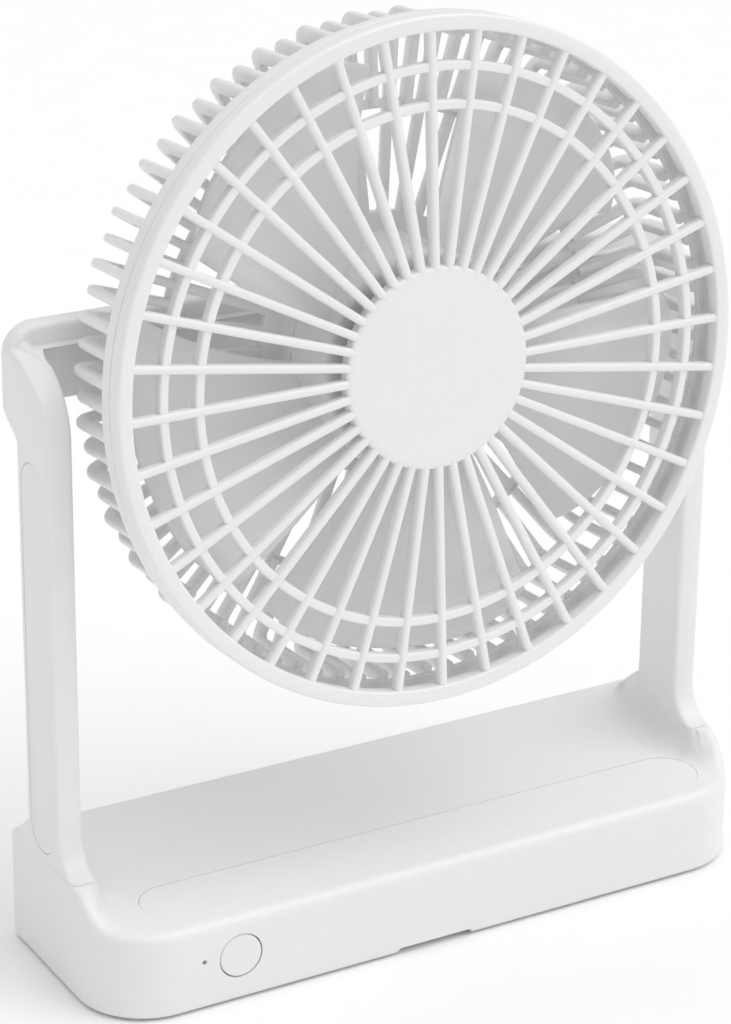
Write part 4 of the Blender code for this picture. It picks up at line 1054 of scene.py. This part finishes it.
@dataclass
class FanHead(OnAxis):
    """Front and rear guards."""

    radius: float = 87.6 * MM
    split: float = 4.7 * MM
    rim_depth: float = 9.6 * MM
    rim_width: float = 4.0 * MM
    wall: float = 2.4 * MM
    disc_radius: float = 25.8 * MM
    bar_count: int = 40
    bar_width: float = 2.2 * MM
    bar_depth: float = 3.4 * MM
    bar_recess: float = 0.35 * MM
    ring_insets: tuple[float, float] = (12.6 * MM, 22.1 * MM)
    ring_width: float = 2.3 * MM
    ring_depth: float = 2.9 * MM
    ring_recess: float = 0.9 * MM
    cage_radius: float = 85.7 * MM
    cage_depth: float = 33.0 * MM
    strand_count: int = 80
    strand_width: float = 2.3 * MM
    strand_depth: float = 4.2 * MM
    strand_bend: float = 3.4 * MM
    strand_step_in: float = 0.9 * MM
    rear_ring: float = 61.0 * MM
    hub_radius: float = 34.0 * MM
    cage_wall: float = 2.7 * MM
    boss_radius: float = 28.5 * MM
    boss_front: float = 25.0 * MM
    boss_wall: float = 1.6 * MM
    rim_edge: float = 0.9 * MM
    rim_inner_edge: float = 0.6 * MM
    ring_edge: float = 0.5 * MM
    bar_edge: float = 0.85 * MM
    bar_root: float = 1.5 * MM
    bar_end: float = 1.6 * MM
    disc_floor: float = 2.2 * MM
    disc_edge: float = 1.0 * MM
    disc_wall: float = 1.4 * MM
    rim_web: float = 2.0 * MM
    rear_rim_edge: float = 1.1 * MM
    strand_edge: float = 0.9 * MM
    strand_root: float = 1.0 * MM
    rib_edge: float = 0.8 * MM
    rear_ring_half: float = 1.1 * MM
    stem_half: Point = (6.5 * MM, 3.2 * MM)
    stem_corner: float = 0.6 * MM
    screw_circle: float = 16.0 * MM
    screw_seat: float = 2.3 * MM
    screw_seat_depth: float = 1.3 * MM
    screw_hole: float = 1.3 * MM

    def ring(self, name: str, outline: Sequence[tuple[float, float, float]],
             steps: int = 200) -> bpy.types.Object:
        """Turn a rounded outline of (radius, depth, rounding) points into a ring."""
        profile = [(radius, self.at(depth)) for radius, depth in rounded(outline)]
        return turned(name, profile, self.place, steps)

    def front(self) -> None:
        """The front guard: rim, forty bars, two rings and the plain disc."""
        inner = self.radius - self.rim_width
        wall = self.radius - self.wall
        back = self.bar_recess + self.bar_depth
        rim = self.ring("front_grille", [
            (self.radius, 0.0, self.rim_edge), (self.radius, self.split, 0.25 * MM),
            (wall, self.split, 0.2 * MM), (wall, back + CLEARANCE, 0.2 * MM),
            (inner, back + CLEARANCE, 0.4 * MM), (inner, 0.0, self.rim_inner_edge)])
        pieces = [rim]
        for index, inset in enumerate(self.ring_insets):
            middle = self.radius - inset
            half = self.ring_width / 2
            front = self.ring_recess
            pieces.append(self.ring(f"ring_{index}", [
                (middle + half, front, self.ring_edge), (middle + half, front + self.ring_depth, 0.3 * MM),
                (middle - half, front + self.ring_depth, 0.3 * MM), (middle - half, front, self.ring_edge)]))
        middle = self.bar_recess + self.bar_depth / 2
        bars = RadialBars("grille", self.bar_count,
                          [(self.disc_radius - self.bar_root, self.at(middle)),
                           (inner + self.bar_end, self.at(middle))],
                          self.bar_depth, self.bar_width, self.bar_edge)
        pieces.append(bars.build(self.shop.materials["guard"], self.place))
        edge = self.disc_radius
        disc = [(0.0, self.at(0.25 * MM)), (edge - 8 * MM, self.at(0.27 * MM)),
                (edge - 2 * MM, self.at(0.35 * MM))]
        disc += [(a, self.at(b)) for a, b in arc(
            (edge - self.disc_edge, self.disc_edge + 0.4 * MM), self.disc_edge, -80, 0, 6)]
        disc += [(edge, self.at(back)), (edge - self.disc_wall, self.at(back)),
                 (edge - self.disc_wall, self.at(self.disc_floor)), (0.0, self.at(self.disc_floor))]
        pieces.append(turned("disc", disc, self.place, 160, closed=False))
        guard = merge("front_grille", pieces)
        self.shop.deliver(guard, "guard", "head", "guard", ["front_guard"], sharp=45)

    def rear(self) -> None:
        """The rear guard: rim, eighty strands, a ring, forty inner bars and the motor seat."""
        wall = self.radius - self.wall
        web = self.rim_depth - self.rim_web
        cage_inner = self.cage_radius - self.cage_wall
        rim = self.ring("rear_cage", [
            (self.radius, self.split + CLEARANCE, 0.25 * MM),
            (self.radius, self.rim_depth, self.rear_rim_edge),
            (cage_inner, self.rim_depth, 0.3 * MM), (cage_inner, web, 0.2 * MM), (wall, web, 0.2 * MM),
            (wall, self.split + CLEARANCE, 0.2 * MM)])
        flat = self.cage_depth - self.strand_depth / 2
        pitch = 2 * math.pi / self.strand_count
        material = self.shop.materials["guard"]
        pieces = [rim]
        for name, step_in, first in (("strands_low", self.strand_step_in, 0.0),
                                     ("strands_high", 0.0, pitch)):
            side = self.cage_radius - step_in - self.strand_depth / 2
            strands = RadialBars(name, self.strand_count // 2,
                                 [(side, self.at(self.rim_depth - self.strand_root)),
                                  (side, self.at(flat)), (self.rear_ring, self.at(flat))],
                                 self.strand_width, self.strand_depth, self.strand_edge,
                                 self.strand_bend, first)
            pieces.append(strands.build(material, self.place))
        rib_flat = self.cage_depth - self.cage_wall / 2
        ribs = RadialBars("inner_bars", self.strand_count // 2,
                          [(self.hub_radius - self.strand_root, self.at(rib_flat)),
                           (self.rear_ring, self.at(rib_flat))],
                          self.strand_width + 0.3 * MM, self.cage_wall, self.rib_edge, 0.0, pitch)
        pieces.append(ribs.build(material, self.place))
        half = self.rear_ring_half
        front, back = self.cage_depth - self.cage_wall, self.cage_depth
        pieces.append(self.ring("rear_ring", [
            (self.rear_ring + half, front, 0.5 * MM), (self.rear_ring + half, back, 0.6 * MM),
            (self.rear_ring - half, back, 0.6 * MM), (self.rear_ring - half, front, 0.5 * MM)]))
        hub = self.hub_radius
        boss = self.boss_radius
        plate = rounded([(hub, front, 0.5 * MM), (hub, back, 1.0 * MM), (0.0, back, 0.0),
                         (0.0, front, 0.0), (boss - self.boss_wall, front, 0.3 * MM),
                         (boss - self.boss_wall, self.boss_front, 0.4 * MM),
                         (boss, self.boss_front, 0.4 * MM), (boss, front, 0.4 * MM)])
        plate = turned("hub_plate", [(a, self.at(b)) for a, b in plate], self.place, 120)
        self.open_hub(plate)
        pieces.append(plate)
        cage = merge("rear_cage", pieces)
        self.shop.deliver(cage, "guard", "head", "guard", ["rear_guard"], sharp=45)

    def open_hub(self, plate: bpy.types.Object) -> None:
        """Cut the hinge stem's window and the motor screws' seats in the hub plate."""
        back = self.at(self.cage_depth + PAST)
        front = self.at(self.cage_depth - self.cage_wall - PAST)

        def world(a: float, b: float, depth: float) -> Vector:
            """Place a point of the head's own frame in the world."""
            return self.place @ Vector((a, b, depth))

        half_x, half_y = self.stem_half
        stem = box_outline((-half_x, -half_y), (half_x, half_y), self.stem_corner, self.stem_corner)
        combine(plate, prism("stem", stem, back, front, world), "DIFFERENCE")
        for index in range(3):
            angle = math.radians(90 + 120 * index)
            centre = (self.screw_circle * math.cos(angle), self.screw_circle * math.sin(angle))
            seat_floor = self.at(self.cage_depth - self.screw_seat_depth)
            combine(plate, prism("seat", arc(centre, self.screw_seat, 0, 350, 35), back, seat_floor, world),
                    "DIFFERENCE")
            combine(plate, prism("way", arc(centre, self.screw_hole, 0, 345, 23), back, front, world),
                    "DIFFERENCE")

    def build(self) -> None:
        """Make both guards."""
        self.front()
        self.rear()


@dataclass
class Rotor(OnAxis):
    """The cup hub and its five broad pitched blades."""

    hub_radius: float = 28.5 * MM
    hub_front: float = 8.0 * MM
    hub_back: float = 24.4 * MM
    wall: float = 1.6 * MM
    tip_radius: float = 77.0 * MM
    blade_front: float = 7.6 * MM
    blade_back: float = 26.4 * MM
    blade_thickness: float = 1.5 * MM
    half_angle: float = math.radians(28.5)
    sweep: float = math.radians(9.0)
    bow: float = 2.4 * MM
    tip_rounding: float = 5.0 * MM
    blade_count: int = 5
    blade_edge: float = 0.55 * MM
    hub_edge: float = 2.4 * MM
    boss_radius: float = 4.0 * MM
    boss_length: float = 4.6 * MM
    bore_radius: float = 1.65 * MM

    def blade(self, turn: float) -> bpy.types.Object:
        """One blade: an open sheet given its thickness and soft edges.

        Args:
            turn: The blade's angle round the axis in radians.

        Returns:
            The blade.
        """
        along, across = 22, 30
        root = self.hub_radius - self.wall / 2
        middle = (self.blade_front + self.blade_back) / 2
        half_rise = (self.blade_back - self.blade_front) / 2 - self.blade_thickness / 2
        shape = bmesh.new()
        rows = []
        for i in range(along + 1):
            row = []
            for j in range(across + 1):
                u, v = i / along, 2 * j / across - 1
                tip = self.tip_radius - self.tip_rounding * abs(v) ** 4
                radius = root + (tip - root) * u
                angle = self.half_angle * v * (0.86 + 0.14 * u) + self.sweep * (u - 0.5) + turn
                depth = middle + half_rise * v * (0.80 + 0.20 * u) - self.bow * (1 - v * v) * u
                row.append(shape.verts.new((radius * math.sin(angle), radius * math.cos(angle),
                                            self.at(depth))))
            rows.append(row)
        for low, high in zip(rows, rows[1:]):
            for j in range(across):
                shape.faces.new((low[j], low[j + 1], high[j + 1], high[j]))
        blade = new_object("blade", shape, turn_out=False)
        wall = blade.modifiers.new("wall", "SOLIDIFY")
        wall.thickness = self.blade_thickness
        wall.offset = 0.0
        bake(blade)
        soften(blade, self.blade_edge, 3, 50)
        return blade

    def build(self) -> None:
        """Make the hub, add the blades and hand the rotor over."""
        inner = self.hub_radius - self.wall
        edge = self.hub_edge
        floor = self.hub_front + self.wall
        profile = [(0.0, self.hub_front), (self.hub_radius - edge, self.hub_front)]
        profile += arc((self.hub_radius - edge, self.hub_front + edge), edge, -75, 0, 8)
        profile += [(self.hub_radius, self.hub_back), (inner, self.hub_back), (inner, floor),
                    (self.boss_radius, floor), (self.boss_radius, floor + self.boss_length),
                    (self.bore_radius, floor + self.boss_length), (self.bore_radius, floor),
                    (0.0, floor)]
        hub = turned("hub", [(a, self.at(b)) for a, b in profile], Matrix.Identity(4), 120,
                     closed=False)
        pitch = 2 * math.pi / self.blade_count
        pieces = [hub] + [self.blade(pitch * (index + 0.5)) for index in range(self.blade_count)]
        rotor = merge("impeller", pieces)
        rotor.data.transform(self.place)
        self.shop.deliver(rotor, "rotor", "rotor", "rotor", ["fan_rotor"], sharp=45)


# ---------------------------------------------------------------- studio
@dataclass
class Studio:
    """Plain pale floor, soft lights and the camera."""

    aim_height: float = 0.11761
    azimuth: float = -30.576
    elevation: float = 21.649
    roll: float = 0.834
    distance: float = 0.82693
    lens: float = 113.747
    shift: Point = (-0.02949, -0.02381)
    sky_strength: float = 0.50
    lamps: tuple[tuple[str, Point3, float, float], ...] = (
        ("key", (0.50, -0.42, 0.76), 0.95, 50.0), ("top", (0.0, 0.0, 1.0), 0.90, 80.0))

    def camera(self) -> None:
        """Place the camera on its sight line and make it the scene's camera."""
        a, e, r = (math.radians(value) for value in (self.azimuth, self.elevation, self.roll))
        back = Vector((math.sin(a) * math.cos(e), -math.cos(a) * math.cos(e), math.sin(e)))
        right = Vector((math.cos(a), math.sin(a), 0.0))
        up = back.cross(right)
        x_axis = right * math.cos(r) + up * math.sin(r)
        y_axis = up * math.cos(r) - right * math.sin(r)
        data = bpy.data.cameras.new("view")
        data.lens = self.lens
        data.sensor_width = 36.0
        data.shift_x, data.shift_y = self.shift
        data.clip_start = 0.01
        thing = add_object("view", data)
        turn = Matrix((x_axis, y_axis, back)).transposed().to_4x4()
        centre = Vector((0.0, 0.0, self.aim_height))
        thing.matrix_world = Matrix.Translation(centre + back * self.distance) @ turn
        bpy.context.scene.camera = thing

    def lamp(self, name: str, towards: Point3, strength: float, spread: float) -> None:
        """Add one broad soft light that shines evenly from a direction."""
        data = bpy.data.lights.new(name, "SUN")
        data.energy = strength
        data.angle = math.radians(spread)
        thing = add_object(name, data)
        thing.rotation_euler = Vector(towards).to_track_quat("Z", "Y").to_euler()

    def build(self) -> None:
        """Make the floor, the surroundings, the lights and the camera."""
        shape = bmesh.new()
        bmesh.ops.create_grid(shape, x_segments=2, y_segments=2, size=6.0)
        floor = new_object("floor", shape)
        paint = Finish("pale floor", "FFFFFF", "FDFDFD", 0.9, grain_size=4 * MM)
        floor.data.materials.append(paint.build())
        world = bpy.data.worlds.new("studio")
        world.use_nodes = True
        sky = world.node_tree.nodes["Background"]
        sky.inputs["Color"].default_value = (1.0, 1.0, 1.0, 1.0)
        sky.inputs["Strength"].default_value = self.sky_strength
        bpy.context.scene.world = world
        bpy.context.scene.view_settings.view_transform = "Standard"
        bpy.context.scene.view_settings.look = "None"
        for lamp in self.lamps:
            self.lamp(*lamp)
        self.camera()


# ---------------------------------------------------------------- assembly
INNER_NODES = {
    "housing": ("base_bottom_plate", "tilt_knuckle"),
    "rubber": ("foot_front_left", "foot_front_right", "foot_rear_left", "foot_rear_right"),
    "zinc": ("base_screw_front_left", "base_screw_front_right", "base_screw_rear_left",
             "base_screw_rear_right", "charge_socket", "tilt_bracket", "bracket_screw_left",
             "bracket_screw_right", "tilt_pin", "friction_washer_left", "friction_washer_right",
             "motor_mount", "motor_screw_1", "motor_screw_2", "motor_screw_3", "bearing_front",
             "bearing_rear", "motor_shaft"),
    "laminate": ("stator_core", "magnet_ring"),
    "board": ("led_board", "control_board"),
    "film": ("battery_cell_left", "battery_cell_right"),
    "nylon": ("tact_switch", "switch_plunger"),
    "sheath": ("motor_lead",),
}


def head_place(joints: Sequence[dict]) -> Matrix:
    """Where the head's own axis lies: its Z runs out of the fan's front.

    Args:
        joints: The record's joints.

    Returns:
        A matrix from the head's frame to the world.
    """
    spin = next(joint for joint in joints if joint["name"] == Axis.SPIN.value)
    tilt = next(joint for joint in joints if joint["name"] == Axis.TILT.value)
    z_axis = Vector(spin["axis"]).normalized()
    x_axis = Vector((1.0, 0.0, 0.0))
    y_axis = z_axis.cross(x_axis)
    turn = Matrix((x_axis, y_axis, z_axis)).transposed().to_4x4()
    return Matrix.Translation(Vector(tilt["pos_m"])) @ turn


def main() -> None:
    """Build the looks in order and hand every piece to the frame."""
    logging.basicConfig(level=logging.INFO, format="%(message)s")
    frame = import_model()
    finishes = Finishes()
    materials = {item.name: getattr(finishes, item.name).build() for item in fields(finishes)}
    shop = Workshop(materials, frame["nodes"])
    for finish, nodes in INNER_NODES.items():
        for node in nodes:
            shop.dress_node(node, finish)
    base_low, base_high = (Vector(corner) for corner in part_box("base_shell"))
    housing = StandHousing(shop, base_low, base_high)
    housing.build()
    CarryFrame(shop, housing, Vector(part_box("frame_hoop")[1])).build()
    place = head_place(frame["joints"])
    FanHead(shop, place).build()
    Rotor(shop, place).build()
    Studio().build()


if __name__ == "__main__":
    main()
